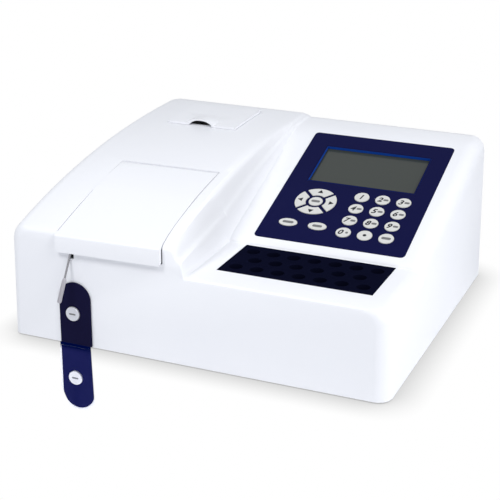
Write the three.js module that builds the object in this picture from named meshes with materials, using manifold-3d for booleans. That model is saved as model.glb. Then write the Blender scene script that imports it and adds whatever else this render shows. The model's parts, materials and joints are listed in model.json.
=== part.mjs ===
// Benchtop chemistry analyzer: a semi-automatic photometer with a sipper tube, a flow cell under a
// hinged lid, an incubator block, a membrane console and a strip printer, in one moulded housing.
//
// Millimetres, +Z up. The pieces are laid out across the front (x), from the housing's front face
// back (y) and from its lower edge up (z). The finished group is then moved so that the middle of
// its bounding box's base is the origin.

import * as THREE from "three";
import { mergeVertices } from "three/addons/utils/BufferGeometryUtils.js";
import Module from "manifold-3d";

const wasm = await Module();
wasm.setup();

// Fits used everywhere
const seatGap = 0.3; // between a piece and what carries it
const runningGap = 0.3; // round pins, shafts, keys and rollers
const overrun = 6; // cuts start and end this far outside what they cut

// Facets
const roundSides = 20;
const smallSides = 12;
const keySides = 16;
const arcSteps = 4;

// Housing
const housingLeft = -6.5;
const housingRight = 401;
const housingDepth = 373.5;
const housingTop = 170.5;
const housingWall = 3;
const footReach = 1.5; // the feet stand this far below the housing's lower edge
const leftCornerRadius = 8;
const rightCornerRadius = 15;
const rearCornerRadius = 15;
const frontEdgeRadius = 4;
const rearEdgeRadius = 9.5;
const leftEdgeRadius = 14;
const rightEdgeRadius = 14.5;
const sideDraft = 3.6;
const rearLean = 5.4;
const rearLeanLength = 40;

// Left block: a crowned top that falls to the front and ends in a stepped wall at its right
const blockWidth = 177;
const blockFrontHeight = 118.9;
const crownLead = 150;
const levelLength = 23.5; // the top lies level this far in front of the rear
const crownEnd = housingDepth - levelLength;
const frontRise = 3.5; // the crown's extra height at its right end, at the front
const valleyReachFront = 15;
const valleyReachRear = 9;
const blockEdgeLand = 12;

// Right section: a flat deck, a sloping console and a plateau behind it
const deckHeight = 93.2;
const consoleTop = 166.5;
const consoleSlope = THREE.MathUtils.degToRad(18.68);
const consoleNose = 10.5;
const plateauLength = 58.9;
const consoleCrease = housingDepth - plateauLength;

// Compartment lid with its front lip, hinge roll and hinge pin
const lidLeft = 50;
const lidRight = 164;
const lidFlare = 3.4;
const lidFlareLength = 45;
const lidHingeY = 140;
const lidThickness = 3;
const lidRollRadius = 3;
const lidSideGap = 0.6;
const lidRightGap = 1;
const lidRearGap = 1;
const lidCrease = 83; // the front panel ahead of this line is flat
const lidCreaseRise = 0.9;
const lipReach = 4.6;
const lipBottom = 99.6;
const lipCornerRadius = 9;
const lidEdgeRadius = 2.5;
const frontSill = 104;
const hingePinRadius = 1.2;
const lugThickness = 5;
const lugHalfLength = 5;
const lugDrop = 10;
const pinEndCover = 1;

// Compartment tray
const trayWall = 2;
const trayFloor = 72;
const trayLap = 3.5; // how far the tray reaches under the housing round the opening
const trayFrontClearance = 0.6;
const wasteHoleRadius = 4;

// Flow cell, its block and the light path through them
const opticsX = 80;
const opticsZ = 88;
const lightRadius = 4;
const cellBlockWidth = 28;
const cellBlockFront = 96;
const cellBlockBack = 130;
const cellBlockHeight = 32;
const cellSize = 12.5;
const cellLength = 33;
const cellFloor = 3;
const cellFit = 0.25;
const portRadius = 1.1;
const portSpacing = 5.6;
const detectorRadius = 9;
const detectorLength = 8;

// Optics bench, filter wheel and lamp housing
const benchLeft = 54;
const benchRight = 128;
const benchFront = 158;
const benchBack = 246;
const benchTop = 50;
const benchThickness = 6;
const benchLegRadius = 5;
const benchLegInset = 8;
const bracketFront = 176;
const bracketThickness = 5;
const bracketTop = 108;
const wheelOffset = 24;
const wheelRadius = 31;
const wheelThickness = 4;
const wheelHoles = 8;
const filterRadius = 5;
const wheelBore = 3.3;
const motorRadius = 14;
const motorLength = 14;
const lampFront = 198;
const lampBack = 240;
const lampBodyRadius = 15;
const lampFinRadius = 20;
const lampFins = 6;
const lampFinThickness = 2;
const cradleHalfWidth = 12;

// Sipper tube and the tubing behind it
const sipperTopX = 66.1;
const sipperTopY = 5;
const sipperTopZ = 111.5;
const sipperTipX = 60.3;
const sipperTipY = -18.2;
const sipperTipZ = 51.9;
const needleRadius = 1.1;
const sleeveRadius = 2.2;
const sleeveShare = 0.4; // of the tube, from its tip
const sipperSlotWidth = 5;
const sipperSlotBottom = 94;
const lipRelief = 1.4; // the lip is hollowed this deep where it passes in front of the tube
const tubeRadius = 1.2;
const pumpTubeRadius = 2;
const tubeSides = 8;
const lineSteps = 26;

// Peristaltic pump
const pumpX = 128;
const pumpY = 62;
const pumpBaseWidth = 62;
const pumpBaseFront = 30;
const pumpBaseBack = 98;
const pumpBaseHeight = 8;
const pumpBaseCorner = 6;
const trackHeight = 13;
const trackWall = 3.4;
const trackLegLength = 16;
const rollerRadius = 5;
const rollerOrbit = 14;
const rollerCount = 3;
const rotorHubRadius = 8;
const rotorHeight = 10;
const rotorDiscThickness = 2;
const rotorShaftRadius = 3;

// Touch plate and aspirate button on the front face
const plateLeft = 50.5;
const plateWidth = 36;
const plateBottom = 0.6;
const plateTop = 69;
const plateThickness = 1.6;
const buttonX = 66.1;
const buttonZ = 34.6;
const buttonRadius = 7.8;
const buttonProud = 1.6;
const buttonCapThickness = 2.2;
const buttonTravel = 1.2;
const stemRadius = 4;
const stemReach = 6;
const collarRadius = 6.5;
const collarThickness = 2;

// Printer cover with its paper hood
const coverLeft = 46.6;
const coverRight = 131;
const coverRearGap = 34.5;
const coverLength = 78;
const coverHingeY = housingDepth - coverRearGap;
const coverFront = coverHingeY - coverLength;
const coverRise = 3;
const coverRollRadius = 5;
const coverRollGap = 0.4;
const coverHingeNotch = 2.4;
const coverLug = 7;
const coverStubRadius = 2;
const coverStubLength = 4;
const bayLeft = 54;
const bayRight = 124;
const bayInset = 7;
const bayEndGap = 6;
const bayFront = coverFront + bayInset;
const bayBack = coverHingeY - bayEndGap;
const hoodCentre = 87.4;
const hoodHalfWidth = 17.4;
const hoodHeight = 5.4;
const hoodWall = 1.2;
const hoodLength = 30;
const hoodSlotLength = 17;

// Printer frame, platen roller and paper roll
const frameLap = 3;
const frameWall = 2;
const frameBack = bayBack - frameWall;
const frameDepth = 54;
const platenInset = 6;
const platenY = bayFront + platenInset;
const platenRadius = 4.5;
const platenShaftRadius = 2;
const platenDrop = 12;
const rollInset = 35;
const rollY = bayFront + rollInset;
const rollDrop = 28;
const rollRadius = 21;
const rollCoreRadius = 6;
const rollWidth = 57;
const spindleReach = 7;

// Console: overlay, keys, display and boards, measured down the slope from the crease
const consoleSide = 25.4; // from the overlay to the housing's right side
const overlayWidth = 162.4;
const overlayLeft = housingRight - consoleSide - overlayWidth;
const overlayStart = 7.8;
const overlayFoot = 25.1; // from the last row of keys to the overlay's end
const consoleMargin = 9.3; // from the overlay's end to the console's foot
const overlayCorner = 4.5;
const overlayThickness = 1;
const overlayProud = 0.3;
const overlayLedge = 4;
const windowInset = 22.4;
const windowLeft = overlayLeft + windowInset;
const windowWidth = 119.3;
const overlayHead = 24.9; // from the overlay's start to the window
const windowStart = overlayStart + overlayHead;
const windowLength = 66;
const bezelWall = 1.2;
const lcdMarginX = 8.5;
const lcdMarginY = 10;
const lcdThickness = 9;
const lcdEarThickness = 2.5;
const boardGap = 12.5;
const boardStart = windowStart + windowLength + boardGap;
const boardLap = 3;
const boardEndLap = 2;
const boardThickness = 1.6;
const keyProud = 0.7;
const keyFlange = 0.8;
const keyFlangeDrop = 0.25;
const keyTravel = 0.5;
const keyRestGap = 0.6;
const keyRadius = 8;
const keyInset = 90.2;
const keyFirstX = overlayLeft + keyInset;
const keysGap = 19; // from the window to the first row of keys
const keyFirstDown = windowStart + windowLength + keysGap;
const keyPitchAcross = 23;
const keyPitchDown = 20.77;
const keyRows = 4;
const ovalHalfLength = 10.2;
const ovalHalfHeight = 6.2;
const ovalSpacing = 32.4;
const ovalDrop = 40.8; // from the pad's middle
const padInset = 44.2;
const padX = overlayLeft + padInset;
const padDrop = 17.7; // from the first row of keys to the pad's middle
const padDown = keyFirstDown + padDrop;
const padRadius = 22.5;
const padInnerRadius = 11;
const padCentreRadius = 7.6;
const padSpoke = 4;
const lastKeyDown = keyFirstDown + keyPitchDown * (keyRows - 1);
const overlayLength = lastKeyDown + overlayFoot - overlayStart;
const consoleLength = overlayStart + overlayLength + consoleMargin;
const consoleFoot = consoleCrease - consoleLength * Math.cos(consoleSlope);

// Incubator block: staggered wells in three rows, flush with the deck
const incubatorWidth = 160.6;
const incubatorDepth = 76.7;
const incubatorGap = 1.1; // to the console's foot
const incubatorSide = 30.2; // to the housing's right side
const blockRight = housingRight - incubatorSide;
const blockLeft = blockRight - incubatorWidth;
const blockBack = consoleFoot - incubatorGap;
const blockFront = blockBack - incubatorDepth;
const blockHeight = 28;
const wellRadius = 7;
const wellDepth = 25;
const wellPitch = 22.1;
const wellRowPitch = 22.3;
const wellLongRow = 7;
const wellShortRow = 6;
const blockTab = 5;
const blockTabThickness = 4;

// Base pan, feet and rear panel
const panBottom = 2;
const panThickness = 1.5;
const panRim = 10;
const panClearance = 0.5;
const panCorner = 14;
const ventLength = 26;
const ventWidth = 3.2;
const ventPitch = 8;
const ventCount = 9;
const ventX = 292;
const ventY = 262;
const footRadius = 9;
const footTopRadius = 8;
const footInset = 28;
const rearPanelInset = 10.5;
const rearPanelY = housingDepth - rearPanelInset;
const rearPanelThickness = 1.5;
const rearPanelTop = 112;
const rearOpeningInset = 28;
const rearPanelLap = 6;

// Rear connections
const inletX = 76;
const inletZ = 40;
const inletFlangeWidth = 31;
const inletFlangeBottom = 21;
const inletFlangeTop = 96;
const inletFlangeThickness = 2.5;
const inletBodyWidth = 27;
const inletBodyDepth = 24;
const socketWidth = 24.5;
const socketHeight = 16.5;
const socketDepth = 16;
const pinWidth = 2;
const pinHeight = 4;
const pinLength = 12;
const pinSpacing = 7;
const fuseZ = 61;
const fuseHeight = 9;
const fuseWidth = 22;
const fuseProud = 1.4;
const switchZ = 81;
const switchWidth = 19;
const switchHeight = 13;
const switchDepth = 9;
const rockerAxisDepth = 3;
const rockerTilt = THREE.MathUtils.degToRad(9);
const rockerDepth = 6;
const rockerCrest = 1.6;
const serialX = 150;
const serialZ = 44;
const serialFlangeWidth = 31;
const serialFlangeHeight = 12.5;
const serialFlangeThickness = 1.2;
const serialShellWidth = 17;
const serialShellHeight = 8.4;
const serialShellReach = 6;
const serialSlantShare = 0.12;
const serialBodyDepth = 9;
const wasteX = 196;
const wasteZ = 40;
const wasteFlangeRadius = 7;
const wasteFlangeThickness = 3.2;
const wasteStemRadius = 3;
const wasteBarbRadius = 4.2;
const wasteReach = 19;
const wasteBore = 1.5;
const wasteBarbs = 3;

// Cooling fan
const fanInset = 85;
const fanX = housingRight - fanInset;
const fanZ = 58;
const fanSize = 60;
const fanCorner = 5;
const fanThickness = 20;
const fanDuctRadius = 27.5;
const fanHubRadius = 12;
const fanTipGap = 1.2;
const fanBlades = 7;
const fanBladeThickness = 1.2;
const fanBladePitch = THREE.MathUtils.degToRad(38);
const fanShaftRadius = 2;
const fanArmWidth = 4;
const fanArmThickness = 3;
const grilleRings = 3;
const grilleFirstRadius = 8;
const grilleSlotWidth = 3.6;
const grilleRingPitch = 6.4;
const grilleSpoke = 3;

// Boards inside the base
const supplyRearGap = 20;
const supplyDepth = 80;
const supplyBack = rearPanelY - supplyRearGap;
const supplyFront = supplyBack - supplyDepth;
const mainBoardInset = 17;
const mainBoardWidth = 188;
const mainBoardDepth = 104;
const mainBoardGap = 20; // to the power supply
const mainBoardRight = housingRight - mainBoardInset;
const mainBoardLeft = mainBoardRight - mainBoardWidth;
const mainBoardBack = supplyFront - mainBoardGap;
const mainBoardFront = mainBoardBack - mainBoardDepth;
const mainBoardZ = 11;
const mainBoardThickness = 1.6;
const standoffRadius = 3;
const standoffInset = 7;
const chipSize = 24;
const chipHeight = 4;
const chipSpacing = 36;
const supplyLeft = 150;
const supplyRight = 270;
const supplyHeight = 38;
const supplyWall = 1.5;

// Colours and surfaces
const shellWhite = { color: 0xf0f2f6, roughness: 0.38, metalness: 0 };
const overlayNavy = { color: 0x12124a, roughness: 0.42, metalness: 0 };
const keyGrey = { color: 0xd6d7de, roughness: 0.45, metalness: 0 };
const glassGrey = { color: 0x4e524b, roughness: 0.12, metalness: 0 };
const incubatorBlack = { color: 0x14161c, roughness: 0.5, metalness: 0.2 };
const steel = { color: 0xb9bdc2, roughness: 0.3, metalness: 1 };
const aluminium = { color: 0xc7cacc, roughness: 0.4, metalness: 1 };
const buttonSilver = { color: 0xd3d5da, roughness: 0.35, metalness: 0.6 };
const blackPlastic = { color: 0x191a1c, roughness: 0.5, metalness: 0 };
const greyPlastic = { color: 0xa9adb3, roughness: 0.5, metalness: 0 };
const rubberBlack = { color: 0x18181a, roughness: 0.85, metalness: 0 };
const clearTube = { color: 0xdfe2de, roughness: 0.3, metalness: 0 };
const quartz = { color: 0xe8f0f4, roughness: 0.05, metalness: 0 };
const paperWhite = { color: 0xf7f6f2, roughness: 0.9, metalness: 0 };
const boardGreen = { color: 0x1d5a35, roughness: 0.55, metalness: 0 };

const analyzer = new THREE.Group();
const consoleGroup = new THREE.Group();
consoleGroup.position.set(0, consoleCrease, consoleTop);
consoleGroup.rotation.x = consoleSlope;
consoleGroup.updateMatrix();
analyzer.add(consoleGroup);

// Solids: joining and cutting closed meshes

function asSolid(shape) {
  if (!shape.isBufferGeometry) return shape;
  const bare = shape.index ? shape.toNonIndexed() : shape.clone();
  bare.deleteAttribute("normal");
  bare.deleteAttribute("uv");
  const merged = mergeVertices(bare);
  const vertProperties = merged.attributes.position.array;
  const triVerts = new Uint32Array(merged.index.array);
  return new wasm.Manifold(new wasm.Mesh({ numProp: 3, vertProperties, triVerts }));
}

function join(...pieces) {
  return pieces.map(asSolid).reduce((whole, piece) => whole.add(piece));
}

function cut(body, ...tools) {
  return tools.map(asSolid).reduce((left, tool) => left.subtract(tool), asSolid(body));
}

function common(body, ...limits) {
  return limits.map(asSolid).reduce((left, limit) => left.intersect(limit), asSolid(body));
}

function asGeometry(shape) {
  if (shape.isBufferGeometry) return shape;
  const { vertProperties, triVerts } = shape.getMesh();
  const geometry = new THREE.BufferGeometry();
  geometry.setAttribute("position", new THREE.BufferAttribute(vertProperties, 3));
  geometry.setIndex(new THREE.BufferAttribute(triVerts, 1));
  const faceted = geometry.toNonIndexed();
  faceted.computeVertexNormals();
  return faceted;
}

function place(name, shape, finish, group = analyzer) {
  const mesh = new THREE.Mesh(asGeometry(shape), new THREE.MeshStandardMaterial(finish));
  mesh.name = name;
  group.add(mesh);
}

// Basic forms

function box(x0, x1, y0, y1, z0, z1) {
  const form = new THREE.BoxGeometry(x1 - x0, y1 - y0, z1 - z0);
  return form.translate((x0 + x1) / 2, (y0 + y1) / 2, (z0 + z1) / 2);
}

function boxAbout(x, y, z, width, depth, height) {
  return new THREE.BoxGeometry(width, depth, height).translate(x, y, z);
}

function rod(radius, from, to, sides = roundSides, endRadius = radius) {
  const start = new THREE.Vector3(...from);
  const along = new THREE.Vector3(...to).sub(start);
  const turn = new THREE.Quaternion();
  turn.setFromUnitVectors(new THREE.Vector3(0, 1, 0), along.clone().normalize());
  const middle = start.clone().addScaledVector(along, 1 / 2);
  return new THREE.CylinderGeometry(endRadius, radius, along.length(), sides)
    .applyQuaternion(turn)
    .translate(middle.x, middle.y, middle.z);
}

// A revolved profile of [radius, height] pairs, standing at `from` and pointing along `direction`.
function revolved(profile, from, direction, sides = roundSides) {
  const points = profile.map(([r, h]) => new THREE.Vector2(r, h));
  const turn = new THREE.Quaternion();
  turn.setFromUnitVectors(new THREE.Vector3(0, 1, 0), new THREE.Vector3(...direction));
  return new THREE.LatheGeometry(points, sides).applyQuaternion(turn).translate(...from);
}

function arc(x, y, radius, from, to, steps, squash = 1) {
  return Array.from({ length: steps + 1 }, (_, i) => {
    const angle = from + ((to - from) * i) / steps;
    return new THREE.Vector2(
      x + radius * Math.cos(angle),
      y + radius * squash * Math.sin(angle),
    );
  });
}

function circle(x, y, radius, sides, squash = 1) {
  return arc(x, y, radius, 0, 2 * Math.PI, sides, squash).slice(0, -1);
}

function roundedRectangle(x0, x1, y0, y1, radius, steps = arcSteps) {
  const quarter = Math.PI / 2;
  return [
    ...arc(x1 - radius, y1 - radius, radius, 0, quarter, steps),
    ...arc(x0 + radius, y1 - radius, radius, quarter, 2 * quarter, steps),
    ...arc(x0 + radius, y0 + radius, radius, 2 * quarter, 3 * quarter, steps),
    ...arc(x1 - radius, y0 + radius, radius, 3 * quarter, 4 * quarter, steps),
  ];
}

function extruded(outline, depth, holes = []) {
  const shape = new THREE.Shape(outline);
  shape.holes = holes.map((hole) => new THREE.Path(hole));
  return new THREE.ExtrudeGeometry(shape, { depth, bevelEnabled: false });
}

// An outline in x and y, standing up from z0 to z1.
function upright(outline, z0, z1, holes = []) {
  return extruded(outline, z1 - z0, holes).translate(0, 0, z0);
}

// An outline in y and z, running from x0 to x1.
function across(outline, x0, x1) {
  const turn = new THREE.Matrix4().makeBasis(
    new THREE.Vector3(0, 1, 0),
    new THREE.Vector3(0, 0, 1),
    new THREE.Vector3(1, 0, 0),
  );
  return extruded(outline, x1 - x0).applyMatrix4(turn).translate(x0, 0, 0);
}

// An outline in x and z, running from y0 to y1.
function deep(outline, y0, y1, holes = []) {
  return extruded(outline, y1 - y0, holes).rotateX(Math.PI / 2).translate(0, y1, 0);
}

// A body through outlines of equally many points, each anticlockwise seen from the front.
function lofted(outlines) {
  const size = outlines[0].length;
  const last = (outlines.length - 1) * size;
  const flat = outlines[0].map((point) => new THREE.Vector2(point.x, point.z));
  const faces = [];
  for (const [a, b, c] of THREE.ShapeUtils.triangulateShape(flat, [])) {
    faces.push(a, b, c);
  }
  for (let k = 0; k < last; k += size) {
    for (let i = 0; i < size; i++) {
      const [near, next] = [k + i, k + ((i + 1) % size)];
      faces.push(near, near + size, next, next, near + size, next + size);
    }
  }
  const flatEnd = outlines.at(-1).map((point) => new THREE.Vector2(point.x, point.z));
  for (const [a, b, c] of THREE.ShapeUtils.triangulateShape(flatEnd, [])) {
    faces.push(last + a, last + c, last + b);
  }
  const geometry = new THREE.BufferGeometry().setFromPoints(outlines.flat());
  geometry.setIndex(faces);
  return geometry;
}

function tube(points, radius, steps, sides = tubeSides) {
  const path = new THREE.CatmullRomCurve3(points.map((point) => new THREE.Vector3(...point)));
  const section = new THREE.Shape(circle(0, 0, radius, sides));
  return new THREE.ExtrudeGeometry(section, { steps, extrudePath: path, bevelEnabled: false });
}

function toConsole(geometry) {
  return geometry.applyMatrix4(consoleGroup.matrix);
}

// The housing's surface

// Height of the left block's crown: a quadratic curve that runs flat into the top.
function crownAt(y) {
  const along = Math.min(y, crownEnd);
  const spread = crownLead ** 2 + (crownEnd - 2 * crownLead) * along;
  const t = along / (crownLead + Math.sqrt(spread));
  return housingTop - (housingTop - blockFrontHeight) * (1 - t) ** 2;
}

// The crown also climbs to the right, and less so further back.
function riseAt(x, y) {
  return frontRise * (x / blockWidth) * (1 - y / crownEnd);
}

// Lifts a form that was laid out along the crown at x = 0.
function onCrown(geometry) {
  const points = geometry.attributes.position;
  for (let i = 0; i < points.count; i++) {
    points.setZ(i, points.getZ(i) + riseAt(points.getX(i), points.getY(i)));
  }
  return geometry;
}

// Height of the deck, the console's rounded nose, its plane and the plateau.
function rightHeightAt(y) {
  const fall = Math.tan(consoleSlope);
  const plane = (at) => consoleTop - fall * (consoleCrease - at);
  if (y < consoleFoot) return deckHeight;
  if (y > consoleCrease) return consoleTop;
  const share = Math.min((y - consoleFoot) / consoleNose, 1);
  const footStep = plane(consoleFoot) - deckHeight;
  return plane(y) - footStep * (1 - Math.sqrt(1 - (1 - share) ** 2));
}

function roundingAt(distance, radius) {
  const past = Math.max(radius - distance, 0);
  return radius - Math.sqrt(Math.max(radius ** 2 - past ** 2, 0));
}

// From the console's edge up to the block's edge: share of the reach, share of the height.
const valleyShares = [
  [1, 0],
  [0.92, 0.03],
  [0.84, 0.14],
  [0.76, 0.38],
  [0.68, 0.48],
  [0.54, 0.53],
  [0.44, 0.57],
  [0.34, 0.66],
  [0.18, 0.86],
  [0.02, 0.95],
  [-0.2, 0.99],
];

// The housing's outline at one depth, or its inside's outline where inset is the wall.
function housingSection(y, inset, bottom) {
  const front = y - inset;
  const back = housingDepth - inset - y;
  const cornerAt = (radius) =>
    Math.max(roundingAt(front, radius - inset), roundingAt(back, rearCornerRadius - inset));
  const drop = Math.max(
    roundingAt(front, frontEdgeRadius - inset),
    roundingAt(back, rearEdgeRadius - inset),
  );
  const left = housingLeft + inset + cornerAt(leftCornerRadius);
  const right = housingRight - inset - cornerAt(rightCornerRadius);
  const low = rightHeightAt(y) - inset - drop;
  const topAt = (x) => crownAt(y) + riseAt(x, y) - inset - drop;
  const reach = THREE.MathUtils.lerp(valleyReachFront, valleyReachRear, y / housingDepth);
  const edge = blockWidth - inset;
  const high = topAt(edge);
  const rightRadius = rightEdgeRadius - inset;
  const leftRadius = leftEdgeRadius - inset;
  const quarter = Math.PI / 2;
  const leftTop = topAt(left + leftRadius);
  const outline = [
    new THREE.Vector2(left, bottom),
    new THREE.Vector2(right, bottom),
    ...arc(right - rightRadius, low - rightRadius, rightRadius, 0, quarter, arcSteps),
    ...valleyShares.map(
      ([across, up]) => new THREE.Vector2(edge + reach * across, low + (high - low) * up),
    ),
    new THREE.Vector2(edge - blockEdgeLand, topAt(edge - blockEdgeLand)),
    ...arc(left + leftRadius, leftTop - leftRadius, leftRadius, quarter, 2 * quarter, arcSteps),
  ];
  const leanShare = Math.max(0, 1 - (housingDepth - y) / rearLeanLength);
  return outline.map((point) => {
    const height = Math.max(point.y, 0) / housingTop;
    const across = (point.x - housingLeft) / (housingRight - housingLeft);
    const draft = sideDraft * height * (1 - 2 * across);
    return new THREE.Vector3(point.x + draft, y - rearLean * height * leanShare, point.y);
  });
}

const cornerShares = [0, 0.05, 0.2, 0.5, 1];
const noseShares = [0, 0.05, 0.2, 0.5];
const crownStops = 5;
const slopeStops = 7;
const backStops = 2;

function evenStops(from, to, count) {
  return Array.from({ length: count }, (_, i) => from + ((to - from) * i) / count);
}

function housingForm(inset, bottom) {
  const first = inset;
  const last = housingDepth - inset;
  const frontRadius = rightCornerRadius - inset;
  const rearRadius = rearCornerRadius - inset;
  const stops = [
    ...cornerShares.slice(0, -1).map((share) => first + frontRadius * share),
    ...evenStops(first + frontRadius, consoleFoot, crownStops),
    ...noseShares.map((share) => consoleFoot + consoleNose * share),
    ...evenStops(consoleFoot + consoleNose, consoleCrease, slopeStops),
    ...evenStops(consoleCrease, last - rearRadius, backStops),
    ...cornerShares.map((share) => last - rearRadius * share).reverse(),
  ];
  return lofted(stops.map((y) => housingSection(y, inset, bottom)));
}

// Everything below a surface that follows the crown at a depth under it, from y0 to y1.
function underCrown(depth, y0, y1, x0, x1) {
  const stops = [...evenStops(y0, y1, crownStops + slopeStops), y1];
  const outline = [
    new THREE.Vector2(y0, -overrun),
    new THREE.Vector2(y1, -overrun),
    ...stops.reverse().map((y) => new THREE.Vector2(y, crownAt(y) - depth)),
  ];
  return onCrown(across(outline, x0, x1));
}

// Compartment lid

function lidRightAt(y) {
  const share = Math.min(Math.max(1 - (y + lipReach) / (lidFlareLength + lipReach), 0), 1);
  return lidRight + lidFlare * share ** 2;
}

const openingBack = lidHingeY + lidRollRadius + lidRearGap;

function lidPlan(leftGap, rightGap, front, back) {
  const stops = [
    ...evenStops(-lipReach, lidFlareLength, arcSteps + 1),
    lidFlareLength,
  ];
  return [
    new THREE.Vector2(lidLeft - leftGap, back),
    new THREE.Vector2(lidLeft - leftGap, front),
    new THREE.Vector2(lidRightAt(-lipReach) + rightGap, front),
    ...stops.map((y) => new THREE.Vector2(lidRightAt(y) + rightGap, y)),
    new THREE.Vector2(lidRight + rightGap, back),
  ];
}

// The lid's top: a flat front panel up to the crease, then the crown's curve.
function lidTopAt(y) {
  const front = lidEdgeRadius - lipReach;
  const creaseZ = crownAt(lidCrease) + lidCreaseRise;
  if (y < lidCrease) {
    return THREE.MathUtils.mapLinear(y, front, lidCrease, crownAt(front), creaseZ);
  }
  return crownAt(y) + THREE.MathUtils.mapLinear(y, lidCrease, lidHingeY, lidCreaseRise, 0);
}

function compartmentLid() {
  const rollZ = crownAt(lidHingeY) - lidRollRadius;
  const innerY = -seatGap;
  const rearStops = evenStops(lidCrease, lidHingeY - lidRollRadius, crownStops);
  const topStops = evenStops(lidHingeY, lidCrease, crownStops).slice(1);
  const frontTop = crownAt(lidEdgeRadius - lipReach);
  const profile = [
    new THREE.Vector2(-lipReach, lipBottom),
    new THREE.Vector2(innerY, lipBottom),
    new THREE.Vector2(innerY, lidTopAt(innerY) - lidThickness),
    ...rearStops.map((y) => new THREE.Vector2(y, lidTopAt(y) - lidThickness)),
    ...arc(lidHingeY, rollZ, lidRollRadius, -Math.PI, Math.PI / 2, keySides),
    ...topStops.map((y) => new THREE.Vector2(y, lidTopAt(y))),
    new THREE.Vector2(lidCrease, lidTopAt(lidCrease)),
    ...arc(
      lidEdgeRadius - lipReach,
      frontTop - lidEdgeRadius,
      lidEdgeRadius,
      Math.PI / 2,
      Math.PI,
      arcSteps,
    ),
  ];
  const widest = lidRight + lidFlare;
  const shell = onCrown(across(profile, lidLeft - overrun, widest + overrun));
  const plan = upright(
    lidPlan(0, 0, -lipReach - overrun, openingBack + overrun),
    0,
    housingTop + overrun,
  );
  const lipFace = [
    new THREE.Vector2(lidLeft, lipBottom - overrun),
    ...arc(
      widest - lipCornerRadius,
      lipBottom + lipCornerRadius,
      lipCornerRadius,
      -Math.PI / 2,
      0,
      arcSteps,
    ),
    new THREE.Vector2(widest, housingTop + overrun),
    new THREE.Vector2(lidLeft, housingTop + overrun),
  ];
  const bore = rod(
    hingePinRadius + runningGap,
    [lidLeft - overrun, lidHingeY, hingeZ],
    [widest + overrun, lidHingeY, hingeZ],
    smallSides,
  );
  const relief = box(
    sipperTopX - sipperSlotWidth / 2,
    sipperTopX + sipperSlotWidth / 2,
    innerY - lipRelief,
    innerY + housingWall,
    lipBottom - overrun,
    frontSill,
  );
  return cut(
    common(shell, plan, deep(lipFace, -lipReach - overrun, openingBack + overrun)),
    bore,
    relief,
  );
}

// The hinge pin lies level, in the middle of the roll.
const hingeZ =
  crownAt(lidHingeY) - lidRollRadius + riseAt((lidLeft + lidRight) / 2, lidHingeY);
const leftLugOuter = lidLeft - lidSideGap - lugThickness;
const rightLugOuter = lidRight + lidRightGap + lugThickness;

function hingePin() {
  return rod(
    hingePinRadius,
    [leftLugOuter + pinEndCover, lidHingeY, hingeZ],
    [rightLugOuter - pinEndCover, lidHingeY, hingeZ],
    smallSides,
  );
}

function hingeLug(x0, x1) {
  const lug = across(
    [
      new THREE.Vector2(lidHingeY - lugHalfLength, hingeZ - lugDrop + lidRollRadius),
      new THREE.Vector2(lidHingeY + lugHalfLength, hingeZ - lugDrop + lidRollRadius),
      new THREE.Vector2(lidHingeY + lugHalfLength, housingTop),
      new THREE.Vector2(lidHingeY - lugHalfLength, housingTop),
    ],
    x0,
    x1,
  );
  return common(lug, underCrown(housingWall / 2, 0, crownEnd, 0, blockWidth));
}

// Printer cover

const coverHingeZ = crownAt(coverHingeY) + coverRise - coverRollRadius;
const rollLeft = coverLeft + coverHingeNotch;
const rollRight = coverRight - coverHingeNotch;
const bayTroughBack = coverHingeY + coverRollRadius + coverRollGap;

function hoodOutline(y, halfWidth, height, lift) {
  const base = crownAt(y) + lift;
  return arc(hoodCentre, base, halfWidth, 0, Math.PI, keySides / 2, height / halfWidth).map(
    (point) => new THREE.Vector3(point.x, y, point.y),
  );
}

function printerCover() {
  const stops = evenStops(coverFront, coverHingeY - coverRollRadius, arcSteps);
  const topStops = evenStops(coverHingeY, coverFront, arcSteps).slice(1);
  const meet = -Math.PI - Math.asin((coverRollRadius - coverRise + seatGap) / coverRollRadius);
  const profile = [
    ...stops.map((y) => new THREE.Vector2(y, crownAt(y) + seatGap)),
    ...arc(coverHingeY, coverHingeZ, coverRollRadius, meet, Math.PI / 2, keySides),
    ...topStops.map((y) => new THREE.Vector2(y, crownAt(y) + coverRise)),
    new THREE.Vector2(coverFront, crownAt(coverFront) + coverRise),
  ];
  const plate = onCrown(across(profile, coverLeft, coverRight));
  const top = housingTop + coverRise + overrun;
  const backEnd = bayTroughBack + overrun;
  const corner = (x0, x1) => box(x0, x1, coverHingeY - coverRollRadius, backEnd, 0, top);
  const slotEnd = coverFront + hoodSlotLength;
  const hoodEnd = coverFront + hoodLength;
  const mouthWidth = hoodHalfWidth - hoodWall;
  const mouthHeight = hoodHeight + 2 * coverRise - hoodWall;
  const hood = onCrown(
    lofted([
      hoodOutline(coverFront, hoodHalfWidth, hoodHeight + coverRise / 2, coverRise / 2),
      hoodOutline(slotEnd, hoodHalfWidth, hoodHeight, coverRise / 2),
      hoodOutline(hoodEnd, hoodHalfWidth / 2, coverRise / 2, coverRise / 2),
    ]),
  );
  const mouth = onCrown(
    lofted([
      hoodOutline(coverFront - overrun, mouthWidth, mouthHeight, -coverRise),
      hoodOutline(slotEnd, mouthWidth, mouthHeight - hoodWall, -coverRise),
    ]),
  );
  const stub = (from, to) =>
    rod(coverStubRadius, [from, coverHingeY, coverHingeZ], [to, coverHingeY, coverHingeZ]);
  return join(
    cut(
      join(plate, hood),
      corner(coverLeft - overrun, rollLeft),
      corner(rollRight, coverRight + overrun),
      mouth,
    ),
    stub(rollLeft - coverStubLength, rollLeft + overrun),
    stub(rollRight - overrun, rollRight + coverStubLength),
  );
}

function coverLugForm(x0, x1) {
  const lug = box(
    x0,
    x1,
    coverHingeY - coverLug,
    coverHingeY + coverLug,
    coverHingeZ - coverLug,
    housingTop,
  );
  return common(lug, underCrown(housingWall / 2, 0, crownEnd, 0, blockWidth));
}

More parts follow.
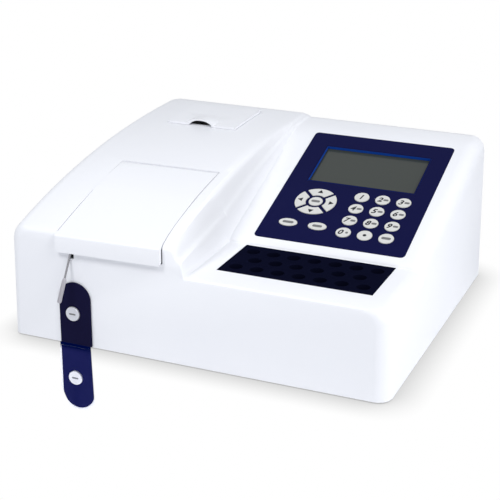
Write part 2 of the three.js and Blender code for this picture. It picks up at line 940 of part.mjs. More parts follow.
// Housing

function incubatorOpening() {
  return box(
    blockLeft - seatGap,
    blockRight + seatGap,
    blockFront - seatGap,
    blockBack + seatGap,
    deckHeight - housingWall - overrun,
    deckHeight + overrun,
  );
}

function consoleRecess() {
  const outline = roundedRectangle(
    overlayLeft - seatGap,
    overlayLeft + overlayWidth + seatGap,
    -overlayStart - overlayLength - seatGap,
    -overlayStart + seatGap,
    overlayCorner + seatGap,
  );
  const opening = roundedRectangle(
    overlayLeft + overlayLedge,
    overlayLeft + overlayWidth - overlayLedge,
    -overlayStart - overlayLength + overlayLedge,
    -overlayStart - overlayLedge,
    overlayCorner,
  );
  const floor = overlayProud - overlayThickness - seatGap;
  return [
    toConsole(upright(outline, floor, overrun)),
    toConsole(upright(opening, -housingWall - overrun, overrun)),
  ];
}

function upperCase() {
  const shell = cut(housingForm(0, 0), housingForm(housingWall, -overrun));
  const lidOpening = upright(
    lidPlan(lidSideGap, lidRightGap, -lipReach - overrun, openingBack),
    frontSill,
    housingTop + overrun,
  );
  const lugLeft = lidLeft - lidSideGap;
  const lugRight = lidRight + lidRightGap;
  const braced = join(
    shell,
    hingeLug(leftLugOuter, lugLeft + overrun),
    hingeLug(lugRight - overrun, rightLugOuter),
    coverLugForm(rollLeft - coverRollGap - coverLug, rollLeft),
    coverLugForm(rollRight, rollRight + coverRollGap + coverLug),
  );
  const bay = box(bayLeft, bayRight, bayFront, bayBack + overrun, frontSill, housingTop + overrun);
  const trough = box(
    rollLeft - coverRollGap,
    rollRight + coverRollGap,
    bayBack,
    bayTroughBack,
    frontSill,
    housingTop + overrun,
  );
  const stubHole = rod(
    coverStubRadius + runningGap,
    [rollLeft - coverStubLength - seatGap, coverHingeY, coverHingeZ],
    [rollRight + coverStubLength + seatGap, coverHingeY, coverHingeZ],
  );
  const pinHole = rod(
    hingePinRadius + runningGap,
    [leftLugOuter + pinEndCover - seatGap, lidHingeY, hingeZ],
    [rightLugOuter - pinEndCover + seatGap, lidHingeY, hingeZ],
    smallSides,
  );
  const sipperSlot = box(
    sipperTopX - sipperSlotWidth / 2,
    sipperTopX + sipperSlotWidth / 2,
    -overrun,
    housingWall + overrun,
    sipperSlotBottom,
    frontSill + overrun,
  );
  const stemHole = rod(
    stemRadius + runningGap,
    [buttonX, -overrun, buttonZ],
    [buttonX, housingWall + overrun, buttonZ],
  );
  const rearOpening = box(
    housingLeft + rearOpeningInset,
    housingRight - rearOpeningInset,
    rearPanelY + rearPanelThickness,
    housingDepth + overrun,
    -overrun,
    rearPanelTop - rearPanelLap,
  );
  return cut(
    braced,
    lidOpening,
    bay,
    trough,
    stubHole,
    pinHole,
    sipperSlot,
    stemHole,
    rearOpening,
    incubatorOpening(),
    ...consoleRecess(),
  );
}

// Compartment under the lid

const trayLeft = lidLeft - lidSideGap - trayLap;
const trayRight = lidRight + lidFlare + lidRightGap + trayLap;
const trayFront = housingWall + trayFrontClearance;
const trayBack = openingBack + trayLap;

function compartmentTray() {
  const outer = common(
    box(trayLeft, trayRight, trayFront, trayBack, trayFloor - trayWall, housingTop),
    housingForm(housingWall + seatGap, -overrun),
  );
  const inner = box(
    trayLeft + trayWall,
    trayRight - trayWall,
    trayFront + trayWall,
    trayBack - trayWall,
    trayFloor,
    housingTop,
  );
  const lugRoom = (x0, x1) =>
    box(
      x0 - seatGap,
      x1 + seatGap,
      lidHingeY - lugHalfLength - seatGap,
      lidHingeY + lugHalfLength + seatGap,
      hingeZ - lugDrop + lidRollRadius - seatGap,
      housingTop,
    );
  const notch = box(
    sipperTopX - sipperSlotWidth / 2,
    sipperTopX + sipperSlotWidth / 2,
    0,
    trayFront + trayWall + overrun,
    sipperSlotBottom,
    housingTop,
  );
  const light = rod(
    lightRadius,
    [opticsX, trayBack - trayWall - overrun, opticsZ],
    [opticsX, trayBack + overrun, opticsZ],
    smallSides,
  );
  const wasteHole = rod(
    wasteHoleRadius,
    [pumpX + trackPathRadius, cellBlockBack, trayFloor - trayWall - overrun],
    [pumpX + trackPathRadius, cellBlockBack, trayFloor + overrun],
    smallSides,
  );
  return cut(
    outer,
    inner,
    lugRoom(leftLugOuter, lidLeft - lidSideGap),
    lugRoom(lidRight + lidRightGap, rightLugOuter),
    notch,
    light,
    wasteHole,
  );
}

function flowCellBlock() {
  const left = opticsX - cellBlockWidth / 2;
  const bottom = trayFloor + seatGap;
  const cellY = (cellBlockFront + cellBlockBack) / 2;
  const body = box(
    left,
    left + cellBlockWidth,
    cellBlockFront,
    cellBlockBack,
    bottom,
    bottom + cellBlockHeight,
  );
  const detector = rod(
    detectorRadius,
    [opticsX, cellBlockFront - detectorLength, opticsZ],
    [opticsX, cellBlockFront + overrun, opticsZ],
  );
  const pocket = boxAbout(
    opticsX,
    cellY,
    bottom + cellFloor + cellBlockHeight / 2,
    cellSize + 2 * cellFit,
    cellSize + 2 * cellFit,
    cellBlockHeight,
  );
  const light = rod(
    lightRadius,
    [opticsX, cellY, opticsZ],
    [opticsX, cellBlockBack + overrun, opticsZ],
    smallSides,
  );
  return cut(join(body, detector), pocket, light);
}

const cellBottom = trayFloor + seatGap + cellFloor + seatGap;
const cellTop = cellBottom + cellLength;
const cellCentreY = (cellBlockFront + cellBlockBack) / 2;

function flowCell() {
  const body = boxAbout(
    opticsX,
    cellCentreY,
    cellBottom + cellLength / 2,
    cellSize,
    cellSize,
    cellLength,
  );
  const port = (x) =>
    rod(
      portRadius,
      [x, cellCentreY, cellTop - overrun],
      [x, cellCentreY, cellTop + overrun],
      tubeSides,
    );
  return cut(body, port(opticsX - portSpacing / 2), port(opticsX + portSpacing / 2));
}

function opticsBench() {
  const plate = box(
    benchLeft,
    benchRight,
    benchFront,
    benchBack,
    benchTop - benchThickness,
    benchTop,
  );
  const legs = [benchLeft + benchLegInset, benchRight - benchLegInset].flatMap((x) =>
    [benchFront + benchLegInset, benchBack - benchLegInset].map((y) =>
      rod(benchLegRadius, [x, y, panTop + seatGap], [x, y, benchTop - benchThickness / 4], smallSides),
    ),
  );
  const wheelX = opticsX + wheelOffset;
  const bracketBack = bracketFront + bracketThickness;
  const bracket = box(
    opticsX - 2 * lightRadius,
    wheelX + motorRadius,
    bracketFront,
    bracketBack,
    benchTop - benchThickness / 2,
    bracketTop,
  );
  const motor = rod(
    motorRadius,
    [wheelX, bracketFront - motorLength, opticsZ],
    [wheelX, bracketFront + bracketThickness / 2, opticsZ],
  );
  const shaft = rod(
    wheelBore - runningGap,
    [wheelX, bracketFront, opticsZ],
    [wheelX, bracketBack + seatGap + wheelThickness * (3 / 2), opticsZ],
    smallSides,
  );
  const cradle = box(
    opticsX - cradleHalfWidth,
    opticsX + cradleHalfWidth,
    lampFront + lampFinThickness,
    lampBack - lampFinThickness,
    benchTop - benchThickness / 2,
    opticsZ - lampBodyRadius,
  );
  const saddle = rod(
    lampFinRadius + seatGap,
    [opticsX, lampFront - overrun, opticsZ],
    [opticsX, lampBack + overrun, opticsZ],
    2 * roundSides,
  );
  const light = rod(
    lightRadius,
    [opticsX, bracketFront - overrun, opticsZ],
    [opticsX, bracketBack + overrun, opticsZ],
    smallSides,
  );
  return join(cut(join(plate, bracket, ...legs), light), motor, shaft, cut(cradle, saddle));
}

function filterWheel() {
  const wheelX = opticsX + wheelOffset;
  const start = bracketFront + bracketThickness + seatGap;
  const outline = circle(wheelX, opticsZ, wheelRadius, 2 * roundSides);
  const bore = circle(wheelX, opticsZ, wheelBore, smallSides);
  const filters = Array.from({ length: wheelHoles }, (_, i) => {
    const angle = Math.PI + (2 * Math.PI * i) / wheelHoles;
    return circle(
      wheelX + wheelOffset * Math.cos(angle),
      opticsZ + wheelOffset * Math.sin(angle),
      filterRadius,
      smallSides,
    );
  });
  return deep(outline, start, start + wheelThickness, [bore, ...filters]);
}

function lampHousing() {
  const length = lampBack - lampFront;
  const pitch = (length - lampFinThickness) / (lampFins - 1);
  const profile = [[0, 0]];
  for (let i = 0; i < lampFins; i++) {
    const low = pitch * i;
    const high = low + lampFinThickness;
    profile.push([lampFinRadius, low], [lampFinRadius, high]);
    if (i < lampFins - 1) profile.push([lampBodyRadius, high], [lampBodyRadius, low + pitch]);
  }
  profile.push([0, length]);
  return revolved(profile, [opticsX, lampFront, opticsZ], [0, 1, 0]);
}

// Sipper tube and tubing

function sipperTube() {
  const top = new THREE.Vector3(sipperTopX, sipperTopY, sipperTopZ);
  const tip = new THREE.Vector3(sipperTipX, sipperTipY, sipperTipZ);
  const along = top.clone().sub(tip);
  const length = along.length();
  const sleeve = length * sleeveShare;
  const taper = sleeveRadius - needleRadius;
  const profile = [
    [0, 0],
    [sleeveRadius - taper / 2, 0],
    [sleeveRadius, taper],
    [sleeveRadius, sleeve - taper],
    [needleRadius, sleeve],
    [needleRadius, length],
    [0, length],
  ];
  return revolved(profile, tip.toArray(), along.normalize().toArray(), smallSides);
}

function sampleLine() {
  const lead = new THREE.Vector3(sipperTopX, sipperTopY, sipperTopZ)
    .sub(new THREE.Vector3(sipperTipX, sipperTipY, sipperTipZ))
    .normalize();
  const onLead = (distance) => [
    sipperTopX + lead.x * distance,
    sipperTopY + lead.y * distance,
    sipperTopZ + lead.z * distance,
  ];
  const entryX = opticsX - portSpacing / 2;
  return tube(
    [
      onLead(2 * seatGap),
      onLead(2 * tubeRadius),
      [opticsX - cellSize, cellBlockFront / 3, sipperTopZ],
      [opticsX - cellSize / 2, cellBlockFront - 2 * cellSize, cellTop + cellSize / 2],
      [entryX, cellCentreY - 2 * tubeRadius, cellTop + 5 * tubeRadius],
      [entryX, cellCentreY, cellTop + 2 * tubeRadius],
      [entryX, cellCentreY, cellTop + seatGap],
    ],
    tubeRadius,
    lineSteps,
  );
}

// Peristaltic pump

const rollerReach = rollerOrbit + rollerRadius;
const trackPathRadius = rollerReach + runningGap + pumpTubeRadius;
const trackInner = trackPathRadius + pumpTubeRadius + runningGap;
const pumpTop = trayFloor + seatGap + pumpBaseHeight;

function pumpBody() {
  const half = pumpBaseWidth / 2;
  const base = upright(
    roundedRectangle(pumpX - half, pumpX + half, pumpBaseFront, pumpBaseBack, pumpBaseCorner),
    trayFloor + seatGap,
    pumpTop,
  );
  const legEnd = pumpY + trackLegLength;
  const horseshoe = (radius) => [
    new THREE.Vector2(pumpX - radius, legEnd),
    ...arc(pumpX, pumpY, radius, Math.PI, 2 * Math.PI, roundSides),
    new THREE.Vector2(pumpX + radius, legEnd),
  ];
  const outline = [...horseshoe(trackInner + trackWall), ...horseshoe(trackInner).reverse()];
  const track = upright(outline, pumpTop - pumpBaseHeight / 2, pumpTop + trackHeight);
  const shaft = rod(
    rotorShaftRadius,
    [pumpX, pumpY, trayFloor + seatGap + pumpBaseHeight / 2],
    [pumpX, pumpY, pumpTop + rotorHeight - rotorDiscThickness],
    smallSides,
  );
  return join(base, track, shaft);
}

function pumpRotor() {
  const bottom = pumpTop + seatGap;
  const top = bottom + rotorHeight;
  const hub = rod(rotorHubRadius, [pumpX, pumpY, bottom], [pumpX, pumpY, top]);
  const disc = rod(
    rollerOrbit + rollerRadius / 2,
    [pumpX, pumpY, top - rotorDiscThickness],
    [pumpX, pumpY, top],
  );
  const rollers = Array.from({ length: rollerCount }, (_, i) => {
    const angle = Math.PI / 2 + (2 * Math.PI * i) / rollerCount;
    const x = pumpX + rollerOrbit * Math.cos(angle);
    const y = pumpY + rollerOrbit * Math.sin(angle);
    return rod(rollerRadius, [x, y, bottom], [x, y, top], keySides);
  });
  const bore = rod(
    rotorShaftRadius + runningGap,
    [pumpX, pumpY, bottom - overrun],
    [pumpX, pumpY, top - rotorDiscThickness + seatGap],
    smallSides,
  );
  return cut(join(hub, disc, ...rollers), bore);
}

function pumpTube() {
  const z = pumpTop + rotorHeight / 2 + seatGap;
  const exitX = opticsX + portSpacing / 2;
  const ring = arc(pumpX, pumpY, trackPathRadius, Math.PI, 2 * Math.PI, 2 * arcSteps);
  const wasteX0 = pumpX + trackPathRadius;
  const legEnd = pumpY + trackLegLength;
  return tube(
    [
      [exitX, cellCentreY, cellTop + seatGap],
      [exitX, cellCentreY, cellTop + 2 * pumpTubeRadius],
      [exitX + cellSize / 2, cellCentreY - cellSize / 2, cellTop + 3 * pumpTubeRadius],
      [pumpX - trackPathRadius - pumpTubeRadius, legEnd + cellSize, z + pumpTubeRadius],
      [pumpX - trackPathRadius, legEnd, z],
      ...ring.map((point) => [point.x, point.y, z]),
      [wasteX0, legEnd, z],
      [wasteX0, cellBlockBack - 2 * cellSize, z],
      [wasteX0, cellBlockBack - pumpTubeRadius, z - 2 * pumpTubeRadius],
      [wasteX0, cellBlockBack, trayFloor + 2 * pumpTubeRadius],
      [wasteX0, cellBlockBack, trayFloor - trayWall],
    ],
    pumpTubeRadius,
    3 * lineSteps,
  );
}

// Touch plate and aspirate button

const plateFace = -seatGap - plateThickness;

function touchPlate() {
  const radius = plateWidth / 2;
  const centre = plateLeft + radius;
  const outline = [
    new THREE.Vector2(plateLeft, plateBottom),
    new THREE.Vector2(plateLeft + plateWidth, plateBottom),
    ...arc(centre, plateTop - radius, radius, 0, Math.PI, roundSides),
  ];
  const hole = circle(buttonX, buttonZ, buttonRadius + runningGap, roundSides);
  return deep(outline, plateFace, -seatGap, [hole]);
}

function aspirateButton() {
  const capBack = buttonCapThickness;
  const wallInside = housingWall - plateFace + buttonProud;
  const collarStart = wallInside + seatGap;
  const chamfer = buttonProud / 4;
  const profile = [
    [0, 0],
    [buttonRadius - chamfer, 0],
    [buttonRadius, chamfer],
    [buttonRadius, capBack],
    [stemRadius, capBack],
    [stemRadius, collarStart],
    [collarRadius, collarStart],
    [collarRadius, collarStart + collarThickness],
    [stemRadius, collarStart + collarThickness],
    [stemRadius, collarStart + stemReach],
    [0, collarStart + stemReach],
  ];
  return revolved(profile, [buttonX, plateFace - buttonProud, buttonZ], [0, 1, 0]);
}

// Printer

const bayTop = crownAt(rollY) - housingWall - seatGap;
const rollZ = crownAt(rollY) - rollDrop;
const rollX = (bayLeft + bayRight) / 2;
const platenZ = crownAt(platenY) - platenDrop;
const frameLeft = bayLeft - frameLap;
const frameRight = bayRight + frameLap;

function printerFrame() {
  const outer = common(
    box(frameLeft, frameRight, bayFront - frameLap, frameBack, bayTop - frameDepth, housingTop),
    underCrown(housingWall + seatGap, 0, crownEnd, 0, blockWidth),
  );
  const inner = box(
    frameLeft + frameWall,
    frameRight - frameWall,
    bayFront - frameLap + frameWall,
    frameBack - frameWall,
    bayTop - frameDepth + frameWall,
    housingTop,
  );
  const spindle = (from, to) =>
    rod(rollCoreRadius - runningGap, [from, rollY, rollZ], [to, rollY, rollZ], keySides);
  const spindles = [
    spindle(frameLeft + frameWall / 2, rollX - rollWidth / 2 + spindleReach),
    spindle(rollX + rollWidth / 2 - spindleReach, frameRight - frameWall / 2),
  ];
  const platenHole = rod(
    platenShaftRadius + runningGap,
    [frameLeft + frameWall - platenCheek, platenY, platenZ],
    [frameRight - frameWall + platenCheek, platenY, platenZ],
    smallSides,
  );
  const cheek = (x0, x1) =>
    boxAbout((x0 + x1) / 2, platenY, platenZ, x1 - x0, 3 * platenShaftRadius, 3 * platenRadius);
  const cheeks = [
    cheek(frameLeft + frameWall / 2, frameLeft + frameWall + platenCheek),
    cheek(frameRight - frameWall - platenCheek, frameRight - frameWall / 2),
  ];
  return cut(join(cut(outer, inner), ...spindles, ...cheeks), platenHole);
}

const platenCheek = 3;

function platenRoller() {
  const half = rollWidth / 2;
  const shaft = (bayRight - bayLeft) / 2 + frameLap - frameWall - seatGap;
  const profile = [
    [0, -shaft],
    [platenShaftRadius, -shaft],
    [platenShaftRadius, -half],
    [platenRadius, -half],
    [platenRadius, half],
    [platenShaftRadius, half],
    [platenShaftRadius, shaft],
    [0, shaft],
  ];
  return revolved(profile, [rollX, platenY, platenZ], [1, 0, 0], keySides);
}

function paperRoll() {
  const half = rollWidth / 2;
  const profile = [
    [rollCoreRadius, -half],
    [rollRadius, -half],
    [rollRadius, half],
    [rollCoreRadius, half],
    [rollCoreRadius, -half],
  ];
  return revolved(profile, [rollX, rollY, rollZ], [1, 0, 0]);
}

// Console

const overlayTop = overlayProud;
const overlayBottom = overlayTop - overlayThickness;
const consoleUnderside = -housingWall * Math.cos(consoleSlope);
const boardTop = consoleUnderside - seatGap;

function roundKeyOutline(x, down, radius) {
  return (gap) => circle(x, -down, radius + gap, keySides);
}

function ovalKeyOutline(x, down) {
  return (gap) => {
    const squash = (ovalHalfHeight + gap) / (ovalHalfLength + gap);
    return circle(x, -down, ovalHalfLength + gap, keySides, squash);
  };
}

// A quarter of the ring round the centre key, with straight even gaps to its neighbours.
function padKeyOutline(middle) {
  return (gap) => {
    const outer = padRadius + gap;
    const inner = padInnerRadius - gap;
    const halfSpoke = padSpoke / 2 - gap;
    const turnOuter = Math.PI / 4 - Math.asin(halfSpoke / outer);
    const turnInner = Math.PI / 4 - Math.asin(halfSpoke / inner);
    return [
      ...arc(padX, -padDown, outer, middle - turnOuter, middle + turnOuter, 2 * arcSteps),
      ...arc(padX, -padDown, inner, middle + turnInner, middle - turnInner, arcSteps),
    ];
  };
}

function consoleKeys() {
  const keys = [];
  for (let digit = 1; digit <= 9; digit++) {
    const column = (digit - 1) % 3;
    const row = Math.floor((digit - 1) / 3);
    keys.push({
      name: `key_${digit}`,
      outline: roundKeyOutline(
        keyFirstX + keyPitchAcross * column,
        keyFirstDown + keyPitchDown * row,
        keyRadius,
      ),
    });
  }
  ["key_0", "key_point", "key_function"].forEach((name, column) => {
    const x = keyFirstX + keyPitchAcross * column;
    keys.push({ name, outline: roundKeyOutline(x, lastKeyDown, keyRadius) });
  });
  ["key_oval_left", "key_oval_right"].forEach((name, column) => {
    const x = padX + ovalSpacing * (column - 1 / 2);
    keys.push({ name, outline: ovalKeyOutline(x, padDown + ovalDrop) });
  });
  keys.push({ name: "key_enter", outline: roundKeyOutline(padX, padDown, padCentreRadius) });
  ["key_right", "key_up", "key_left", "key_down"].forEach((name, quarter) => {
    keys.push({ name, outline: padKeyOutline((Math.PI / 2) * quarter) });
  });
  return keys;
}

function windowOutline(grow) {
  const [x0, x1] = [windowLeft - grow, windowLeft + windowWidth + grow];
  const [y0, y1] = [-windowStart - windowLength - grow, -windowStart + grow];
  return [
    new THREE.Vector2(x0, y0),
    new THREE.Vector2(x1, y0),
    new THREE.Vector2(x1, y1),
    new THREE.Vector2(x0, y1),
  ];
}

function keypadOverlay(keys) {
  const outline = roundedRectangle(
    overlayLeft,
    overlayLeft + overlayWidth,
    -overlayStart - overlayLength,
    -overlayStart,
    overlayCorner,
  );
  const holes = [windowOutline(bezelWall + seatGap), ...keys.map((key) => key.outline(runningGap))];
  return upright(outline, overlayBottom, overlayTop, holes);
}

// A cap that stands in the overlay's hole, on a wider flange that can't come through it.
function consoleKey(key) {
  const flangeTop = overlayBottom - keyFlangeDrop;
  const flangeBottom = boardTop + keyRestGap;
  const cap = upright(key.outline(0), flangeTop - (flangeTop - flangeBottom) / 2, overlayTop + keyProud);
  const flange = upright(key.outline(keyFlange), flangeBottom, flangeTop);
  return join(cap, flange);
}

function displayBezel() {
  return upright(windowOutline(bezelWall), boardTop + seatGap, overlayTop, [windowOutline(0)]);
}

function lcdModule() {
  const ears = box(
    overlayLeft + overlayLedge - boardLap,
    overlayLeft + overlayWidth - overlayLedge + boardLap,
    -windowStart - windowLength - lcdMarginY,
    -windowStart + lcdMarginY,
    boardTop - lcdEarThickness,
    boardTop,
  );
  const body = box(
    windowLeft - lcdMarginX,
    windowLeft + windowWidth + lcdMarginX,
    -windowStart - windowLength - lcdMarginY,
    -windowStart + lcdMarginY,
    boardTop - lcdThickness,
    boardTop - lcdEarThickness / 2,
  );
  return join(ears, body);
}

function keypadBoard() {
  return box(
    overlayLeft + overlayLedge - boardLap,
    overlayLeft + overlayWidth - overlayLedge + boardLap,
    -overlayStart - overlayLength + overlayLedge - boardEndLap,
    -boardStart,
    boardTop - boardThickness,
    boardTop,
  );
}

// Incubator

const incubatorMiddleX = (blockLeft + blockRight) / 2;
const incubatorMiddleY = (blockFront + blockBack) / 2;

// One bar of the block, with one row of wells and a tab at each end under the deck.
function incubatorRow(wellCount, row, front, back) {
  const outline = [
    new THREE.Vector2(blockLeft, front),
    new THREE.Vector2(blockRight, front),
    new THREE.Vector2(blockRight, back),
    new THREE.Vector2(blockLeft, back),
  ];
  const y = incubatorMiddleY + wellRowPitch * row;
  const wells = Array.from({ length: wellCount }, (_, i) =>
    circle(
      incubatorMiddleX + wellPitch * (i - (wellCount - 1) / 2),
      y,
      wellRadius,
      keySides,
    ),
  );
  const floor = deckHeight - wellDepth;
  const tabTop = deckHeight - housingWall - seatGap;
  const tab = (x0, x1) => box(x0, x1, front, back, tabTop - blockTabThickness, tabTop);
  return join(
    upright(outline, floor, deckHeight, wells),
    upright(outline, deckHeight - blockHeight, floor),
    tab(blockLeft - blockTab, blockLeft + blockTab / 4),
    tab(blockRight - blockTab / 4, blockRight + blockTab),
  );
}

// Base pan, feet and rear panel

const panTop = panBottom + panThickness;
const panEdge = housingWall + panClearance;

function basePan() {
  const back = rearPanelY - seatGap;
  const outer = (inset, z0, z1) =>
    upright(
      roundedRectangle(
        housingLeft + panEdge + inset,
        housingRight - panEdge - inset,
        panEdge + inset,
        back - inset,
        panCorner - inset,
      ),
      z0,
      z1,
    );
  const tail = box(
    housingLeft + rearOpeningInset + seatGap,
    housingRight - rearOpeningInset - seatGap,
    back - panCorner,
    housingDepth - housingWall - rearLean,
    panBottom,
    panTop,
  );
  const vents = [];
  for (let i = 0; i < ventCount; i++) {
    const x = ventX + ventPitch * i - (ventPitch * (ventCount - 1)) / 2;
    for (const y of [ventY, ventY + ventLength + ventPitch]) {
      vents.push(boxAbout(x, y, panBottom, ventWidth, ventLength, 2 * overrun));
    }
  }
  return cut(
    join(outer(0, panBottom, panTop + panRim), tail),
    outer(panThickness, panTop, panTop + panRim + overrun),
    ...vents,
  );
}

function foot(x, y) {
  const profile = [
    [0, 0],
    [footRadius, 0],
    [footTopRadius, footReach + panBottom - seatGap],
    [0, footReach + panBottom - seatGap],
  ];
  return revolved(profile, [x, y, -footReach], [0, 0, 1], keySides);
}

function grilleSlots() {
  const slots = [];
  for (let ring = 0; ring < grilleRings; ring++) {
    const inner = grilleFirstRadius + grilleRingPitch * ring;
    const outer = inner + grilleSlotWidth;
    const steps = 2 + ring;
    for (let quarter = 0; quarter < 4; quarter++) {
      const middle = (Math.PI / 2) * quarter;
      const open = Math.PI / 4 - Math.asin(grilleSpoke / 2 / inner);
      slots.push([
        ...arc(fanX, fanZ, outer, middle - open, middle + open, steps),
        ...arc(fanX, fanZ, inner, middle + open, middle - open, steps),
      ]);
    }
  }
  return slots;
}

function rectangle(x, z, width, height) {
  return [
    new THREE.Vector2(x - width / 2, z - height / 2),
    new THREE.Vector2(x + width / 2, z - height / 2),
    new THREE.Vector2(x + width / 2, z + height / 2),
    new THREE.Vector2(x - width / 2, z + height / 2),
  ];
}

const moduleCentre = (inletFlangeBottom + inletFlangeTop) / 2;
const moduleBodyHeight = inletFlangeTop - inletFlangeBottom - (inletFlangeWidth - inletBodyWidth);

function rearPanel() {
  const left = housingLeft + rearOpeningInset - rearPanelLap;
  const right = housingRight - rearOpeningInset + rearPanelLap;
  const outline = [
    new THREE.Vector2(left, panTop + seatGap),
    new THREE.Vector2(right, panTop + seatGap),
    new THREE.Vector2(right, rearPanelTop),
    new THREE.Vector2(left, rearPanelTop),
  ];
  const cutouts = [
    rectangle(
      inletX,
      moduleCentre,
      inletBodyWidth + 2 * seatGap,
      moduleBodyHeight + 2 * seatGap,
    ),
    rectangle(
      serialX,
      serialZ,
      serialShellWidth + 2 * seatGap,
      serialShellHeight + 2 * seatGap,
    ),
    circle(wasteX, wasteZ, wasteStemRadius + runningGap, smallSides),
    ...grilleSlots(),
  ];
  return deep(outline, rearPanelY, rearPanelY + rearPanelThickness, cutouts);
}

// Rear connections

const panelFace = rearPanelY + rearPanelThickness;

function powerInlet() {
  const flangeBack = panelFace + seatGap;
  const flangeFace = flangeBack + inletFlangeThickness;
  const flange = deep(
    rectangle(inletX, moduleCentre, inletFlangeWidth, inletFlangeTop - inletFlangeBottom),
    flangeBack,
    flangeFace,
  );
  const body = deep(
    rectangle(inletX, moduleCentre, inletBodyWidth, moduleBodyHeight),
    flangeFace - inletBodyDepth,
    flangeFace - inletFlangeThickness / 2,
  );
  const socket = deep(
    rectangle(inletX, inletZ, socketWidth, socketHeight),
    flangeFace - socketDepth,
    flangeFace + overrun,
  );
  const well = deep(
    rectangle(inletX, switchZ, switchWidth + 2 * runningGap, switchHeight + 2 * runningGap),
    flangeFace - switchDepth,
    flangeFace + overrun,
  );
  const fuse = deep(
    rectangle(inletX, fuseZ, fuseWidth, fuseHeight),
    flangeBack,
    flangeFace + fuseProud,
  );
  const contacts = [-1, 0, 1].map((side) =>
    boxAbout(
      inletX + pinSpacing * side,
      flangeFace - socketDepth + pinLength / 2 - pinWidth / 4,
      inletZ + (side === 0 ? pinHeight / 2 : -pinHeight / 4),
      pinWidth,
      pinLength,
      pinHeight,
    ),
  );
  return join(cut(join(flange, body, fuse), socket, well), ...contacts);
}

const rockerY = panelFace + seatGap + inletFlangeThickness - rockerAxisDepth;

// A shallow V seen from the side: one half stands out while the other lies level.
function powerSwitch() {
  const face = rockerAxisDepth;
  const half = switchHeight / 2 - rockerDepth * Math.tan(rockerTilt);
  const profile = [
    new THREE.Vector2(rockerY - rockerDepth / 2, switchZ - half + rockerCrest),
    new THREE.Vector2(rockerY + face, switchZ - half),
    new THREE.Vector2(rockerY + face - rockerCrest, switchZ),
    new THREE.Vector2(rockerY + face + rockerCrest, switchZ + half),
    new THREE.Vector2(rockerY - rockerDepth / 2, switchZ + half - rockerCrest),
  ];
  return across(profile, inletX - switchWidth / 2, inletX + switchWidth / 2);
}

function serialPort() {
  const flangeBack = panelFace + seatGap;
  const flange = deep(
    rectangle(serialX, serialZ, serialFlangeWidth, serialFlangeHeight),
    flangeBack,
    flangeBack + serialFlangeThickness,
  );
  const slant = serialShellHeight * serialSlantShare;
  const [w, h] = [serialShellWidth / 2, serialShellHeight / 2];
  const shell = [
    new THREE.Vector2(serialX - w + 2 * slant, serialZ - h),
    new THREE.Vector2(serialX + w - 2 * slant, serialZ - h),
    new THREE.Vector2(serialX + w, serialZ + h),
    new THREE.Vector2(serialX - w, serialZ + h),
  ];
  return join(
    flange,
    deep(shell, flangeBack - serialBodyDepth, flangeBack + serialShellReach),
  );
}

function wasteFitting() {
  const start = panelFace + seatGap;
  const flangeThickness = wasteFlangeThickness;
  const barb = (wasteReach - flangeThickness) / (wasteBarbs + 1);
  const tail = rearPanelThickness + 4 * seatGap;
  const profile = [
    [wasteBore, -tail],
    [wasteStemRadius, -tail],
    [wasteStemRadius, 0],
    [wasteFlangeRadius, 0],
    [wasteFlangeRadius, flangeThickness],
    [wasteStemRadius, flangeThickness],
  ];
  for (let i = 1; i <= wasteBarbs; i++) {
    const low = flangeThickness + barb * i;
    profile.push([wasteBarbRadius, low], [wasteStemRadius, low + barb / 2]);
  }
  profile.push([wasteBore, wasteReach], [wasteBore, -tail]);
  return revolved(profile, [wasteX, start, wasteZ], [0, 1, 0], smallSides);
}

// Cooling fan

const fanBack = rearPanelY - seatGap;
const fanFront = fanBack - fanThickness;

function fanFrame() {
  const half = fanSize / 2;
  const outline = roundedRectangle(
    fanX - half,
    fanX + half,
    fanZ - half,
    fanZ + half,
    fanCorner,
    2,
  );
  const duct = circle(fanX, fanZ, fanDuctRadius, 2 * smallSides);
  const frame = deep(outline, fanFront, fanBack, [duct]);
  const hubEnd = fanFront + fanArmThickness;
  const hub = rod(fanHubRadius, [fanX, fanFront, fanZ], [fanX, hubEnd, fanZ], smallSides);
  const shaft = rod(
    fanShaftRadius,
    [fanX, fanFront + fanArmThickness / 2, fanZ],
    [fanX, fanBack - 3 * fanArmThickness, fanZ],
    tubeSides,
  );
  const arms = [0, 1, 2].map((i) => {
    const arm = boxAbout(0, 0, fanDuctRadius / 2, fanArmWidth, fanArmThickness, fanDuctRadius);
    arm.translate(0, 0, fanArmThickness / 2);
    return arm
      .rotateY((2 * Math.PI * i) / 3)
      .translate(fanX, fanFront + fanArmThickness / 2, fanZ);
  });
  return join(frame, hub, shaft, ...arms);
}

function fanRotor() {
  const start = fanFront + fanArmThickness + seatGap;
  const end = fanBack - fanArmThickness;
  const hub = rod(fanHubRadius, [fanX, start, fanZ], [fanX, end, fanZ], smallSides);
  const bore = rod(
    fanShaftRadius + runningGap,
    [fanX, start - overrun, fanZ],
    [fanX, end - fanArmThickness / 2, fanZ],
    tubeSides,
  );
  const reach = fanDuctRadius - fanTipGap;
  const chord = (end - start) / Math.cos(fanBladePitch) - fanBladeThickness;
  const middle = (start + end) / 2;
  const room = deep(circle(fanX, fanZ, reach, 2 * smallSides), start, end);
  const blades = Array.from({ length: fanBlades }, (_, i) => {
    const blade = boxAbout(
      0,
      0,
      (reach + fanHubRadius) / 2,
      fanBladeThickness,
      chord,
      reach - fanHubRadius / 2,
    );
    return blade
      .rotateZ(fanBladePitch)
      .rotateY((2 * Math.PI * i) / fanBlades)
      .translate(fanX, middle, fanZ);
  });
  return cut(join(hub, common(join(...blades), room)), bore);
}

// Boards

